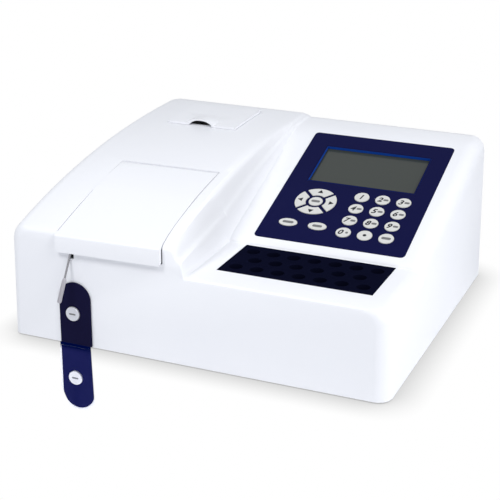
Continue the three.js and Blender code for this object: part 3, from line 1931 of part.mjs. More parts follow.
function mainBoard() {
  const board = box(
    mainBoardLeft,
    mainBoardRight,
    mainBoardFront,
    mainBoardBack,
    mainBoardZ,
    mainBoardZ + mainBoardThickness,
  );
  const xs = [mainBoardLeft + standoffInset, mainBoardRight - standoffInset];
  const ys = [mainBoardFront + standoffInset, mainBoardBack - standoffInset];
  const standoffs = xs.flatMap((x) =>
    ys.map((y) =>
      rod(
        standoffRadius,
        [x, y, panTop + seatGap],
        [x, y, mainBoardZ + mainBoardThickness / 2],
        tubeSides,
      ),
    ),
  );
  const top = mainBoardZ + mainBoardThickness;
  const chips = [-1, 0, 1].map((side) =>
    boxAbout(
      (mainBoardLeft + mainBoardRight) / 2 + chipSpacing * side,
      (mainBoardFront + mainBoardBack) / 2,
      top + chipHeight / 4,
      chipSize,
      chipSize,
      (chipHeight * 3) / 2,
    ),
  );
  return join(board, ...standoffs, ...chips);
}

function powerSupply() {
  const bottom = panTop + seatGap;
  const top = bottom + supplyHeight;
  const caseForm = box(supplyLeft, supplyRight, supplyFront, supplyBack, bottom, top);
  const slots = Array.from({ length: ventCount }, (_, i) =>
    boxAbout(
      (supplyLeft + supplyRight) / 2 + ventPitch * (i - (ventCount - 1) / 2),
      (supplyFront + supplyBack) / 2,
      top,
      ventWidth,
      2 * ventLength,
      4 * supplyWall,
    ),
  );
  return cut(caseForm, ...slots);
}

// Assembly

place("upper_case", upperCase(), shellWhite);
place("base_pan", basePan(), aluminium);
place("rear_panel", rearPanel(), aluminium);

const footNames = ["front_left_foot", "front_right_foot", "rear_left_foot", "rear_right_foot"];
footNames.forEach((name, i) => {
  const x = i % 2 ? housingRight - footInset : housingLeft + footInset;
  const y = i < 2 ? footInset : rearPanelY - footInset;
  place(name, foot(x, y), rubberBlack);
});

place("compartment_lid", compartmentLid(), shellWhite);
place("lid_hinge_pin", hingePin(), steel);
place("compartment_tray", compartmentTray(), greyPlastic);
place("flow_cell_block", flowCellBlock(), aluminium);
place("flow_cell", flowCell(), quartz);
place("optics_bench", opticsBench(), aluminium);
place("filter_wheel", filterWheel(), blackPlastic);
place("lamp_housing", lampHousing(), aluminium);
place("sipper_tube", sipperTube(), steel);
place("sample_line", sampleLine(), clearTube);
place("pump_body", pumpBody(), greyPlastic);
place("pump_rotor", pumpRotor(), blackPlastic);
place("pump_tube", pumpTube(), clearTube);
place("touch_plate", touchPlate(), overlayNavy);
place("aspirate_button", aspirateButton(), buttonSilver);

place("printer_cover", printerCover(), shellWhite);
place("printer_frame", printerFrame(), blackPlastic);
place("platen_roller", platenRoller(), rubberBlack);
place("paper_roll", paperRoll(), paperWhite);

const keys = consoleKeys();
place("keypad_overlay", keypadOverlay(keys), overlayNavy, consoleGroup);
for (const key of keys) place(key.name, consoleKey(key), keyGrey, consoleGroup);
place("display_bezel", displayBezel(), overlayNavy, consoleGroup);
place("lcd_module", lcdModule(), glassGrey, consoleGroup);
place("keypad_board", keypadBoard(), boardGreen, consoleGroup);

const frontSeam = incubatorMiddleY - wellRowPitch / 2;
const rearSeam = incubatorMiddleY + wellRowPitch / 2;
place(
  "incubator_front_row",
  incubatorRow(wellLongRow, -1, blockFront, frontSeam - seatGap / 2),
  incubatorBlack,
);
place(
  "incubator_middle_row",
  incubatorRow(wellShortRow, 0, frontSeam + seatGap / 2, rearSeam - seatGap / 2),
  incubatorBlack,
);
place(
  "incubator_rear_row",
  incubatorRow(wellLongRow, 1, rearSeam + seatGap / 2, blockBack),
  incubatorBlack,
);

place("power_inlet", powerInlet(), blackPlastic);
place("power_switch", powerSwitch(), blackPlastic);
place("serial_port", serialPort(), steel);
place("waste_fitting", wasteFitting(), greyPlastic);
place("fan_frame", fanFrame(), blackPlastic);
place("fan_rotor", fanRotor(), blackPlastic);
place("main_board", mainBoard(), boardGreen);
place("power_supply", powerSupply(), aluminium);

// The origin is the middle of the base of the bounding box.
const bounds = new THREE.Box3().setFromObject(analyzer, true);
const centre = bounds.getCenter(new THREE.Vector3());
analyzer.position.set(-centre.x, -centre.y, -bounds.min.z);

export default analyzer;
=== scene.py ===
# %% [markdown]
# # Benchtop chemistry analyzer
#
# A white moulded instrument stands on a bench: a lid over the measuring compartment, a sipper tube
# that leans out under the lid's lip, a sloping console with keys and a display, a black incubator
# block and a small printer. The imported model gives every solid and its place. This lesson turns the
# solids into finished pieces: it rounds their edges, gives them materials, prints the keys, adds the
# small fittings and sets up the light and the camera.

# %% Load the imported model
import json
import math

import bmesh
import bpy
from mathutils import Matrix, Vector


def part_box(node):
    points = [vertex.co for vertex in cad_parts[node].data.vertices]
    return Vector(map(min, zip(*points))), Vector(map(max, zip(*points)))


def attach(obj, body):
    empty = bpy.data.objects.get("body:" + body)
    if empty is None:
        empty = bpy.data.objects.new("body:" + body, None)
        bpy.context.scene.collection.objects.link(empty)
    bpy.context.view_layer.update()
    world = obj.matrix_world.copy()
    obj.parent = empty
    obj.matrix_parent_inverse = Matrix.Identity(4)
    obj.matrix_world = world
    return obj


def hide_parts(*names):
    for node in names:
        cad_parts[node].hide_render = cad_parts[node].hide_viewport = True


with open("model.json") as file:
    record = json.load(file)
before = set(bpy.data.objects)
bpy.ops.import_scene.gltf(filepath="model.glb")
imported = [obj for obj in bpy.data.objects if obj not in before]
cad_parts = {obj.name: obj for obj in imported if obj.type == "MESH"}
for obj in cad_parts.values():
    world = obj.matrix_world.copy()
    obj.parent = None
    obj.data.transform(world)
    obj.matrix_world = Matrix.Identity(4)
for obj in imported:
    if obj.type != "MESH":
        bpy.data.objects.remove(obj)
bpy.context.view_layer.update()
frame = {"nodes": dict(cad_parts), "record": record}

MM = 0.001

# %% [markdown]
# ## From the drawing to the frame
#
# The instrument is drawn in millimetres from the housing's front face and lower edge, and the packed
# model is moved so that it stands on the origin. One foot, whose place in the drawing is known, gives
# the move between the two. It could be typed as three numbers, but measured from the model it stays
# right when the model's box changes.

# %% Places in the drawing
FOOT_PLACE = Vector((21.5, 28, -1.5))


def box_centre(node):
    low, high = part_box(node)
    return (Vector(low) + Vector(high)) / 2


def bottom_centre(node):
    centre = box_centre(node)
    centre.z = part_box(node)[0][2]
    return centre


DRAWING_SHIFT = bottom_centre("front_left_foot") - FOOT_PLACE * MM


def laid(x, y, z):
    """A place in the drawing, in millimetres, as a place in the frame, in metres."""
    return Vector((x, y, z)) * MM + DRAWING_SHIFT


print("drawing's origin", laid(0, 0, 0))

# %% [markdown]
# ## The photographer's place
#
# The camera stands to the right of the instrument's front and looks down at it. Its place and angle
# come from the straight edges of the housing, which meet at vanishing points in the picture. A
# constraint could aim it at a target, but this camera also leans a little to one side, so its whole
# matrix is written. The matrix holds the camera's right, up and backward directions as columns.

# %% Camera
CAMERA_YAW = math.radians(22.733)
CAMERA_PITCH = math.radians(20.834)
CAMERA_ROLL = 0.008
CAMERA_LENS = 92.2
CAMERA_FAR_END = 20
CAMERA_PLACE = (693.3, -1034.2, 560.1)

forward = Vector((
    -math.sin(CAMERA_YAW) * math.cos(CAMERA_PITCH),
    math.cos(CAMERA_YAW) * math.cos(CAMERA_PITCH),
    -math.sin(CAMERA_PITCH),
))
level_right = Vector((math.cos(CAMERA_YAW), math.sin(CAMERA_YAW), 0))
level_up = level_right.cross(forward)
right = math.cos(CAMERA_ROLL) * level_right + math.sin(CAMERA_ROLL) * level_up
up = right.cross(forward)
camera_turn = Matrix((right, up, -forward)).transposed().to_4x4()
camera = bpy.data.objects.new("camera", bpy.data.cameras.new("camera"))
camera.matrix_world = Matrix.Translation(laid(*CAMERA_PLACE)) @ camera_turn
camera.data.lens = CAMERA_LENS
camera.data.clip_end = CAMERA_FAR_END
bpy.context.scene.collection.objects.link(camera)
bpy.context.scene.camera = camera
print("camera", camera.matrix_world.translation, "lens", CAMERA_LENS)

# %% [markdown]
# ## Shader groups
#
# Nearly every surface here is moulded, and moulded plastic is never perfectly even: it has a fine
# grain, and its tone drifts a little over a hand's width. Each material could repeat these nodes, but
# they are built once, as a node group with named inputs, and all materials share it. A group gives out
# colours, values and normals only, and the shader itself stays in the material. A Mix node shows one
# set of sockets for numbers and one for colours under the same labels, so those for colours are picked
# by their place in the list.

# %% Helpers that start a node group and add nodes
FIRST_COLOR = 6
SECOND_COLOR = 7
MIXED_COLOR = 2


def start_group(name, inputs, outputs):
    group = bpy.data.node_groups.new(name, "ShaderNodeTree")
    for label, kind, default in inputs:
        socket = group.interface.new_socket(label, in_out="INPUT", socket_type=kind)
        socket.default_value = default
    for label, kind in outputs:
        group.interface.new_socket(label, in_out="OUTPUT", socket_type=kind)
    entry = group.nodes.new("NodeGroupInput")
    leave = group.nodes.new("NodeGroupOutput")
    return group, entry.outputs, leave.inputs


def node_in(tree, kind, **sockets):
    node = tree.nodes.new(kind)
    for label, value in sockets.items():
        node.inputs[label.replace("_", " ")].default_value = value
    return node


def combined(tree, operation, first, second):
    node = tree.nodes.new("ShaderNodeMath")
    node.operation = operation
    tree.links.new(first, node.inputs[0])
    tree.links.new(second, node.inputs[1])
    return node.outputs[0]


def mixed_shader(tree, factor, first, second):
    node = tree.nodes.new("ShaderNodeMixShader")
    tree.links.new(factor, node.inputs[0])
    tree.links.new(first.outputs[0], node.inputs[1])
    tree.links.new(second.outputs[0], node.inputs[2])
    return node


# %% Grain: a fine bump and a slow drift of tone
GRAIN_HEIGHT = 0.0002


def make_grain_group():
    group, given, out = start_group(
        "moulded_grain",
        [
            ("Tone", "NodeSocketColor", (0.8, 0.8, 0.8, 1)),
            ("Shade", "NodeSocketColor", (0.7, 0.7, 0.7, 1)),
            ("Grain Scale", "NodeSocketFloat", 900.0),
            ("Grain Depth", "NodeSocketFloat", 0.05),
            ("Drift Scale", "NodeSocketFloat", 9.0),
            ("Roughness", "NodeSocketFloat", 0.4),
            ("Roughness Drift", "NodeSocketFloat", 0.06),
        ],
        [("Color", "NodeSocketColor"), ("Roughness", "NodeSocketFloat"), ("Normal", "NodeSocketVector")],
    )
    link = group.links.new
    place = group.nodes.new("ShaderNodeTexCoord").outputs["Object"]
    grain = node_in(group, "ShaderNodeTexNoise", Detail=3.0, Roughness=0.6)
    link(place, grain.inputs["Vector"])
    link(given["Grain Scale"], grain.inputs["Scale"])
    bump = node_in(group, "ShaderNodeBump", Distance=GRAIN_HEIGHT)
    link(given["Grain Depth"], bump.inputs["Strength"])
    link(grain.outputs["Fac"], bump.inputs["Height"])
    drift = node_in(group, "ShaderNodeTexNoise", Detail=2.0)
    link(place, drift.inputs["Vector"])
    link(given["Drift Scale"], drift.inputs["Scale"])
    mix = group.nodes.new("ShaderNodeMix")
    mix.data_type = "RGBA"
    link(drift.outputs["Fac"], mix.inputs["Factor"])
    link(given["Tone"], mix.inputs[FIRST_COLOR])
    link(given["Shade"], mix.inputs[SECOND_COLOR])
    spread = group.nodes.new("ShaderNodeMath")
    spread.operation = "MULTIPLY_ADD"
    link(drift.outputs["Fac"], spread.inputs[0])
    link(given["Roughness Drift"], spread.inputs[1])
    link(given["Roughness"], spread.inputs[2])
    link(mix.outputs[MIXED_COLOR], out["Color"])
    link(spread.outputs[0], out["Roughness"])
    link(bump.outputs["Normal"], out["Normal"])
    return group


grain_group = make_grain_group()
print("grain group", len(grain_group.nodes), "nodes")

# %% [markdown]
# ## Brushed metal
#
# Turned pins and brushed sheet show fine lines in one direction. A picture of scratches could give
# them, but it would need a file and a flat layout of every surface. A noise texture that is squeezed
# along one axis needs neither. The lines change the gloss and the bumps, and leave the colour alone.

# %% Brush lines
LINE_HEIGHT = 0.0001


def make_brush_group():
    group, given, out = start_group(
        "brush_lines",
        [
            ("Along", "NodeSocketVector", (1.0, 1.0, 1.0)),
            ("Line Scale", "NodeSocketFloat", 400.0),
            ("Low", "NodeSocketFloat", 0.2),
            ("High", "NodeSocketFloat", 0.4),
            ("Line Depth", "NodeSocketFloat", 0.05),
        ],
        [("Roughness", "NodeSocketFloat"), ("Normal", "NodeSocketVector")],
    )
    link = group.links.new
    place = group.nodes.new("ShaderNodeTexCoord").outputs["Object"]
    squeeze = group.nodes.new("ShaderNodeVectorMath")
    squeeze.operation = "MULTIPLY"
    link(place, squeeze.inputs[0])
    link(given["Along"], squeeze.inputs[1])
    lines = node_in(group, "ShaderNodeTexNoise", Detail=4.0)
    link(squeeze.outputs[0], lines.inputs["Vector"])
    link(given["Line Scale"], lines.inputs["Scale"])
    spread = group.nodes.new("ShaderNodeMapRange")
    link(lines.outputs["Fac"], spread.inputs["Value"])
    link(given["Low"], spread.inputs["To Min"])
    link(given["High"], spread.inputs["To Max"])
    bump = node_in(group, "ShaderNodeBump", Distance=LINE_HEIGHT)
    link(given["Line Depth"], bump.inputs["Strength"])
    link(lines.outputs["Fac"], bump.inputs["Height"])
    link(spread.outputs["Result"], out["Roughness"])
    link(bump.outputs["Normal"], out["Normal"])
    return group


brush_group = make_brush_group()
print("brush group", len(brush_group.nodes), "nodes")

# %% [markdown]
# ## Materials
#
# One function makes every plastic, rubber, film, paper, board, paint and casting, because they differ
# only in tone, grain and gloss. Whatever is the same all over a surface is set on the shader's own
# socket. One such socket is how much the surface mirrors, where 0.5 is usual for plastic. The dark
# films and the anodised block are matt, so they mirror very little of the white room.

# %% Moulded, printed, painted and cast finishes
def start_material(name, **sockets):
    material = bpy.data.materials.new(name)
    material.use_nodes = True
    shader = material.node_tree.nodes["Principled BSDF"]
    for label, value in sockets.items():
        shader.inputs[label.replace("_", " ")].default_value = value
    return material, material.node_tree, shader


def grained(name, tone, shade, grain, depth, roughness, drift=9.0, **sockets):
    material, tree, shader = start_material(name, **sockets)
    group = tree.nodes.new("ShaderNodeGroup")
    group.node_tree = grain_group
    group.inputs["Tone"].default_value = (*tone, 1)
    group.inputs["Shade"].default_value = (*shade, 1)
    group.inputs["Grain Scale"].default_value = grain
    group.inputs["Grain Depth"].default_value = depth
    group.inputs["Drift Scale"].default_value = drift
    group.inputs["Roughness"].default_value = roughness
    tree.links.new(group.outputs["Color"], shader.inputs["Base Color"])
    tree.links.new(group.outputs["Roughness"], shader.inputs["Roughness"])
    tree.links.new(group.outputs["Normal"], shader.inputs["Normal"])
    return material


MATT = {"Specular_IOR_Level": 0.02}
SATIN = {"Specular_IOR_Level": 0.3}
DULL = {"Specular_IOR_Level": 0.0}
shell_white = grained("shell_white", (0.87, 0.875, 0.9), (0.845, 0.852, 0.885), 1500, 0.12, 0.38, **SATIN)
navy_film = grained("navy_film", (0.0045, 0.0055, 0.042), (0.006, 0.007, 0.05), 2600, 0.1, 0.45, **MATT)
plate_navy = grained("plate_navy", (0.006, 0.0055, 0.026), (0.008, 0.0075, 0.034), 2600, 0.1, 0.45, **MATT)
window_blue = grained("window_blue", (0.006, 0.05, 0.31), (0.008, 0.06, 0.35), 2600, 0.1, 0.5, **MATT)
key_grey = grained("key_grey", (0.67, 0.665, 0.635), (0.63, 0.625, 0.6), 2200, 0.1, 0.42, **SATIN)
legend_ink = grained("legend_ink", (0.025, 0.025, 0.03), (0.035, 0.035, 0.04), 3000, 0.05, 0.5, **MATT)
legend_grey = grained("legend_grey", (0.17, 0.17, 0.17), (0.2, 0.2, 0.2), 3000, 0.05, 0.5, **MATT)
legend_white = grained("legend_white", (0.8, 0.8, 0.8), (0.75, 0.75, 0.75), 3000, 0.05, 0.5)
silver_paint = grained("silver_paint", (0.66, 0.67, 0.7), (0.6, 0.61, 0.65), 3000, 0.2, 0.36, Metallic=0.5)
grey_plastic = grained("grey_plastic", (0.38, 0.4, 0.43), (0.34, 0.36, 0.39), 1500, 0.2, 0.45)
black_plastic = grained("black_plastic", (0.012, 0.012, 0.014), (0.018, 0.018, 0.02), 1500, 0.25, 0.42)
rubber = grained("rubber", (0.012, 0.012, 0.012), (0.02, 0.02, 0.02), 900, 0.5, 0.75)
paper = grained("paper", (0.88, 0.88, 0.86), (0.84, 0.84, 0.81), 1200, 0.3, 0.85)
board_green = grained("board_green", (0.015, 0.09, 0.035), (0.01, 0.07, 0.025), 700, 0.2, 0.35, drift=120)
anodised_black = grained(
    "anodised_black", (0.0032, 0.004, 0.0135), (0.0045, 0.0052, 0.017), 2500, 0.25, 0.6, **DULL
)
cast_aluminium = grained(
    "cast_aluminium", (0.5, 0.51, 0.53), (0.42, 0.43, 0.45), 1100, 0.5, 0.45, Metallic=1.0
)
print("finishes with grain", grain_group.users)

# %% Metals with brush lines
def brushed(name, color, along, scale, low, high):
    material, tree, shader = start_material(name, Base_Color=(*color, 1), Metallic=1.0)
    group = tree.nodes.new("ShaderNodeGroup")
    group.node_tree = brush_group
    group.inputs["Along"].default_value = along
    group.inputs["Line Scale"].default_value = scale
    group.inputs["Low"].default_value = low
    group.inputs["High"].default_value = high
    tree.links.new(group.outputs["Roughness"], shader.inputs["Roughness"])
    tree.links.new(group.outputs["Normal"], shader.inputs["Normal"])
    return material


steel = brushed("steel", (0.6, 0.6, 0.62), (1.0, 1.0, 0.1), 900, 0.15, 0.35)
needle_steel = brushed("needle_steel", (0.3, 0.3, 0.32), (1.0, 1.0, 0.1), 900, 0.15, 0.35)
plated_sheet = brushed("plated_sheet", (0.55, 0.57, 0.6), (0.06, 1.0, 1.0), 500, 0.3, 0.5)
brass = brushed("brass", (0.78, 0.6, 0.3), (1.0, 0.1, 1.0), 900, 0.2, 0.35)
print("finishes with brush lines", brush_group.users)

# %% [markdown]
# ## Glass and clear tubing
#
# The cuvette is clear quartz, the tubing milky silicone, and the sipper's sheath a milky hard plastic.
# A transparent shader could be mixed in, but it wouldn't bend the light as glass does, so their shaders
# carry transmission instead. The milky ones are rough, so that they scatter.

# %% Clear materials
def clear(name, color, transmission, bending, roughness):
    return start_material(
        name,
        Base_Color=(*color, 1),
        Transmission_Weight=transmission,
        IOR=bending,
        Roughness=roughness,
    )[0]


quartz = clear("quartz", (0.93, 0.97, 0.98), 1.0, 1.46, 0.02)
clear_tube = clear("clear_tube", (0.85, 0.87, 0.83), 0.55, 1.4, 0.28)
milky_sheath = clear("milky_sheath", (0.62, 0.6, 0.64), 0.45, 1.35, 0.35)
print("clear finishes", [material.name for material in (quartz, clear_tube, milky_sheath)])

# %% [markdown]
# ## The display
#
# A reflective liquid crystal panel is olive grey, with a very fine grid of dots. The dots could be
# modelled one by one, but there are thousands. Instead the grid comes from two wave textures along the
# panel's own directions; a Mapping node turns the object's coordinates into the console's slope.

# %% Display glass
CONSOLE_SLOPE = math.radians(18.68)
CONSOLE_REAR_EDGE = (0, 314.6, 166.5)
DOT_WAVES = 320.0
PANEL_DARK = (0.036, 0.042, 0.038, 1)
PANEL_LIGHT = (0.044, 0.051, 0.046, 1)
console_place = Matrix.Translation(laid(*CONSOLE_REAR_EDGE)) @ Matrix.Rotation(CONSOLE_SLOPE, 4, "X")


def make_display_material():
    material, tree, shader = start_material("display_glass", Roughness=0.2, Specular_IOR_Level=0.2)
    link = tree.links.new
    place = tree.nodes.new("ShaderNodeTexCoord").outputs["Object"]
    turn = tree.nodes.new("ShaderNodeMapping")
    turn.inputs["Rotation"].default_value = (-CONSOLE_SLOPE, 0, 0)
    link(place, turn.inputs["Vector"])
    grids = []
    for direction in ("X", "Y"):
        wave = node_in(tree, "ShaderNodeTexWave", Scale=DOT_WAVES)
        wave.bands_direction = direction
        link(turn.outputs["Vector"], wave.inputs["Vector"])
        grids.append(wave.outputs["Fac"])
    dots = combined(tree, "MULTIPLY", *grids)
    mix = tree.nodes.new("ShaderNodeMix")
    mix.data_type = "RGBA"
    mix.inputs[FIRST_COLOR].default_value = PANEL_DARK
    mix.inputs[SECOND_COLOR].default_value = PANEL_LIGHT
    link(dots, mix.inputs["Factor"])
    link(mix.outputs[MIXED_COLOR], shader.inputs["Base Color"])
    return material


display_glass = make_display_material()
print("display glass", len(display_glass.node_tree.nodes), "nodes")

# %% [markdown]
# ## From solids to smooth pieces
#
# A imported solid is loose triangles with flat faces. For nearly every one a copy is made: its points are
# merged, flat areas are joined into single faces, and edges that are nearly in line are shaded smooth.
# A small bevel then catches the light along the sharp edges, as the radius on a real moulding does. It
# could be cut into the mesh, but as a modifier it is easy to change. The lid's lip has two larger radii
# at its lower corners, and a modifier would give every edge the same one, so those two edges are
# rounded first. The copy stands in for the solid and rides on the same body. Only the sipper, the
# serial connector and the feet are shaped anew further down.

# %% Smooth copies
ALIGNED_COSINE = 0.9
MERGE = 0.01 * MM
FLAT_ANGLE = math.radians(0.4)
BEVEL_SEGMENTS = 2
LIP_CORNER = 3.5 * MM
LIP_SEGMENTS = 6
LIP_CATCH = 0.4 * MM


def add_object(name, mesh, material, body):
    piece = bpy.data.objects.new(name, mesh)
    piece.data.materials.clear()
    piece.data.materials.append(material)
    bpy.context.scene.collection.objects.link(piece)
    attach(piece, body)
    return piece


def body_of_node(node):
    for body, members in frame["record"]["behaviour"]["bodies"].items():
        if node in members:
            return body


def merged_solid(node):
    form = bmesh.new()
    form.from_mesh(frame["nodes"][node].data)
    bmesh.ops.remove_doubles(form, verts=form.verts, dist=MERGE)
    bmesh.ops.dissolve_degenerate(form, edges=form.edges, dist=MERGE)
    bmesh.ops.dissolve_limit(form, angle_limit=FLAT_ANGLE, verts=form.verts, edges=form.edges)
    return form


def finish_form(form, name, smooth_angle):
    for face in form.faces:
        face.smooth = True
    for edge in form.edges:
        edge.smooth = len(edge.link_faces) == 2 and edge.calc_face_angle(0) < smooth_angle
    mesh = bpy.data.meshes.new(name)
    form.to_mesh(mesh)
    form.free()
    return mesh


def lip_corner_edges(form):
    """The two short edges at the lip's lower corners, which run through its thickness."""
    left = min(vert.co.x for vert in form.verts)
    right = max(vert.co.x for vert in form.verts)
    bottom = min(vert.co.z for vert in form.verts)
    corners = []
    for edge in form.edges:
        run = edge.verts[1].co - edge.verts[0].co
        middle = (edge.verts[0].co + edge.verts[1].co) / 2
        outermost = min(middle.x - left, right - middle.x) < LIP_CATCH
        lowest = middle.z - bottom < LIP_CATCH
        if outermost and lowest and abs(run.y) > ALIGNED_COSINE * run.length:
            corners.append(edge)
    return corners


def round_edges(form, edges, radius, segments):
    bmesh.ops.bevel(
        form, geom=edges, offset=radius, segments=segments, profile=0.5, affect="EDGES", material=-1
    )


def smooth_copy(node, material, bevel, smooth):
    form = merged_solid(node)
    if node == "compartment_lid":
        corners = lip_corner_edges(form)
        print("lip corners", len(corners))
        round_edges(form, corners, LIP_CORNER, LIP_SEGMENTS)
    mesh = finish_form(form, node + "_finish", math.radians(smooth))
    piece = add_object(node + "_finish", mesh, material, body_of_node(node))
    if bevel:
        rounding = piece.modifiers.new("edge_radius", "BEVEL")
        rounding.width = bevel * MM
        rounding.segments = BEVEL_SEGMENTS
        rounding.limit_method = "ANGLE"
        rounding.angle_limit = math.radians(smooth)
        rounding.harden_normals = True
    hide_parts(node)
    return piece


# %% Each solid's material, edge radius in millimetres and smoothing angle in degrees
finishes = {
    "upper_case": (shell_white, 0.5, 32),
    "compartment_lid": (shell_white, 0.4, 32),
    "printer_cover": (shell_white, 0.3, 32),
    "base_pan": (plated_sheet, 0.3, 30),
    "rear_panel": (plated_sheet, 0, 30),
    "lid_hinge_pin": (steel, 0.2, 40),
    "compartment_tray": (grey_plastic, 0.3, 30),
    "optics_bench": (cast_aluminium, 0.4, 30),
    "flow_cell_block": (cast_aluminium, 0.4, 30),
    "flow_cell": (quartz, 0.15, 30),
    "lamp_housing": (cast_aluminium, 0.3, 30),
    "filter_wheel": (black_plastic, 0, 30),
    "sample_line": (clear_tube, 0, 50),
    "pump_body": (grey_plastic, 0.4, 30),
    "pump_rotor": (black_plastic, 0.2, 30),
    "pump_tube": (clear_tube, 0, 50),
    "touch_plate": (plate_navy, 0.3, 30),
    "aspirate_button": (silver_paint, 0.3, 30),
    "printer_frame": (black_plastic, 0.3, 30),
    "platen_roller": (rubber, 0.2, 30),
    "paper_roll": (paper, 0.2, 30),
    "keypad_overlay": (navy_film, 0, 30),
    "display_bezel": (window_blue, 0, 30),
    "lcd_module": (display_glass, 0, 30),
    "keypad_board": (board_green, 0, 30),
    "incubator_front_row": (anodised_black, 0.3, 30),
    "incubator_middle_row": (anodised_black, 0.3, 30),
    "incubator_rear_row": (anodised_black, 0.3, 30),
    "power_inlet": (black_plastic, 0.3, 30),
    "power_switch": (black_plastic, 0.3, 30),
    "fan_frame": (black_plastic, 0.3, 30),
    "fan_rotor": (black_plastic, 0.2, 30),
    "waste_fitting": (grey_plastic, 0.1, 30),
    "main_board": (board_green, 0.1, 30),
    "power_supply": (plated_sheet, 0.3, 30),
}
key_names = [node for node in frame["nodes"] if node.startswith("key_")]
for node in key_names:
    finishes[node] = (key_grey, 0.35, 30)
pieces = {}
for node, (material, bevel, smooth) in finishes.items():
    pieces[node] = smooth_copy(node, material, bevel, smooth)
print("smooth pieces", len(pieces))

# %% [markdown]
# ## The window's navy rim
#
# The display's frame is one blue moulding, but its rim is printed navy like the film around it, so only
# the walls inside the window look blue. A thin navy ring could lie on it, but two surfaces so close
# together flicker. So the mesh gets a second material, and the faces that look straight out of the
# console use it.

# %% Navy faces on the window frame
window_frame = pieces["display_bezel"].data
window_frame.materials.append(navy_film)
console_up = console_place.to_3x3() @ Vector((0, 0, 1))
rim_faces = [face for face in window_frame.polygons if face.normal.dot(console_up) > ALIGNED_COSINE]
for face in rim_faces:
    face.material_index = 1
print("navy rim faces", len(rim_faces))

# %% [markdown]
# ## Shaping small parts
#
# Screws, posts, needles and feet are turned parts: a half outline is spun about an axis, as a lathe
# would cut it. A cylinder could be inset and pushed in instead, but an outline shows the whole part at a
# glance. Bars and blocks start as a cube whose edges are rounded. All are shaped in millimetres about
# their own origin, and one matrix then lays them in the drawing, turned so that their own upward
# direction faces where it should.

# %% Shaping helpers
SMALL_PART_SMOOTH = math.radians(35)
SMALL_PART_MERGE = 0.001
SLAB_SEGMENTS = 3
UPWARD = (0, 0, 1)
DOWNWARD = (0, 0, -1)
FRONTWARD = (0, -1, 0)
REARWARD = (0, 1, 0)


def turned(profile, sides=24):
    form = bmesh.new()
    points = [form.verts.new((radius, 0, height)) for radius, height in profile]
    edges = [form.edges.new(pair) for pair in zip(points, points[1:])]
    bmesh.ops.spin(
        form,
        geom=points + edges,
        cent=(0, 0, 0),
        axis=UPWARD,
        angle=math.tau,
        steps=sides,
        use_merge=True,
    )
    bmesh.ops.remove_doubles(form, verts=form.verts, dist=SMALL_PART_MERGE)
    bmesh.ops.recalc_face_normals(form, faces=form.faces)
    return form


def slab(width, depth, height, corner, round_all=False):
    form = bmesh.new()
    bmesh.ops.create_cube(form, size=1)
    bmesh.ops.scale(form, vec=(width, depth, height), verts=form.verts)
    edges = form.edges[:]
    if not round_all:
        edges = [edge for edge in edges if abs(edge.verts[0].co.z - edge.verts[1].co.z) > height / 2]
    round_edges(form, edges, corner, SLAB_SEGMENTS)
    return form


def gathered(parts):
    """One bmesh from several, each moved by its own matrix first."""
    whole = bmesh.new()
    for form, place in parts:
        bmesh.ops.transform(form, matrix=place, verts=form.verts)
        loose = bpy.data.meshes.new("loose")
        form.to_mesh(loose)
        form.free()
        whole.from_mesh(loose)
        bpy.data.meshes.remove(loose)
    return whole


def at(x, y, z, facing=UPWARD):
    """The matrix that lays a small part at a place in the drawing, with its top towards facing."""
    turn = Vector(facing).to_track_quat("Z", "Y").to_matrix().to_4x4()
    return Matrix.Translation(laid(x, y, z)) @ turn @ Matrix.Scale(MM, 4)


def on_console(x, down, height):
    """The matrix that lays a small part on the console: across it, down its slope, above its face."""
    return console_place @ Matrix.Scale(MM, 4) @ Matrix.Translation((x, -down, height))


def add_parts(name, parts, material, body):
    mesh = finish_form(gathered(parts), name, SMALL_PART_SMOOTH)
    print(name, "from", len(parts), "forms, with", len(mesh.polygons), "faces")
    return add_object(name, mesh, material, body)


# %% [markdown]
# ## Printing on the keys
#
# Each key carries a printed mark: a digit, which has a short bar beside it on all but the 1, a point,
# arrows on the round pad, plain bars on the others. A picture on the key could show it, but a mesh
# stays sharp from near. A text object is turned into a mesh, its strokes thickened by an offset and
# leaned by a shear, given a hair of thickness, and laid on the key's top in the console's own plane.

# %% Digits
KEYS_IN_ROW = 3
KEY_FIRST_X = 303.4
KEY_FIRST_DOWN = 117.7
KEY_ACROSS = 23.0
KEY_DOWN = 20.77
KEY_TOP = 1.0
DIGIT_SIZE = 10.2
DIGIT_LEAN = 0.25
STROKE_GROWTH = 0.3
CURVE_STEPS = 3
DIGIT_SHIFT = -2.6
INK = 0.06


def key_place(index):
    row, column = divmod(index, KEYS_IN_ROW)
    return KEY_FIRST_X + KEY_ACROSS * column, KEY_FIRST_DOWN + KEY_DOWN * row


def printed_text(name, text, place, body):
    curve = bpy.data.curves.new(name, "FONT")
    curve.body = text
    curve.size = DIGIT_SIZE
    curve.shear = DIGIT_LEAN
    curve.offset = STROKE_GROWTH
    curve.extrude = INK / 2
    curve.resolution_u = CURVE_STEPS
    holder = bpy.data.objects.new(name + "_curve", curve)
    bpy.context.scene.collection.objects.link(holder)
    bpy.context.view_layer.update()
    mesh = bpy.data.meshes.new_from_object(holder)
    bpy.data.objects.remove(holder)
    mesh.name = name
    across = [vertex.co.x for vertex in mesh.vertices]
    upward = [vertex.co.y for vertex in mesh.vertices]
    middle_x = (min(across) + max(across)) / 2
    middle_y = (min(upward) + max(upward)) / 2
    mesh.transform(place @ Matrix.Translation((-middle_x, -middle_y, 0)))
    return add_object(name, mesh, legend_ink, body)


digits = [str(number) for number in range(1, 10)] + ["0"]
for index, digit in enumerate(digits):
    x, down = key_place(index)
    shift = 0 if digit == "1" else DIGIT_SHIFT
    printed_text("mark_" + digit, digit, on_console(x + shift, down, KEY_TOP), "key_" + digit + "_body")
print("digits", len(digits))

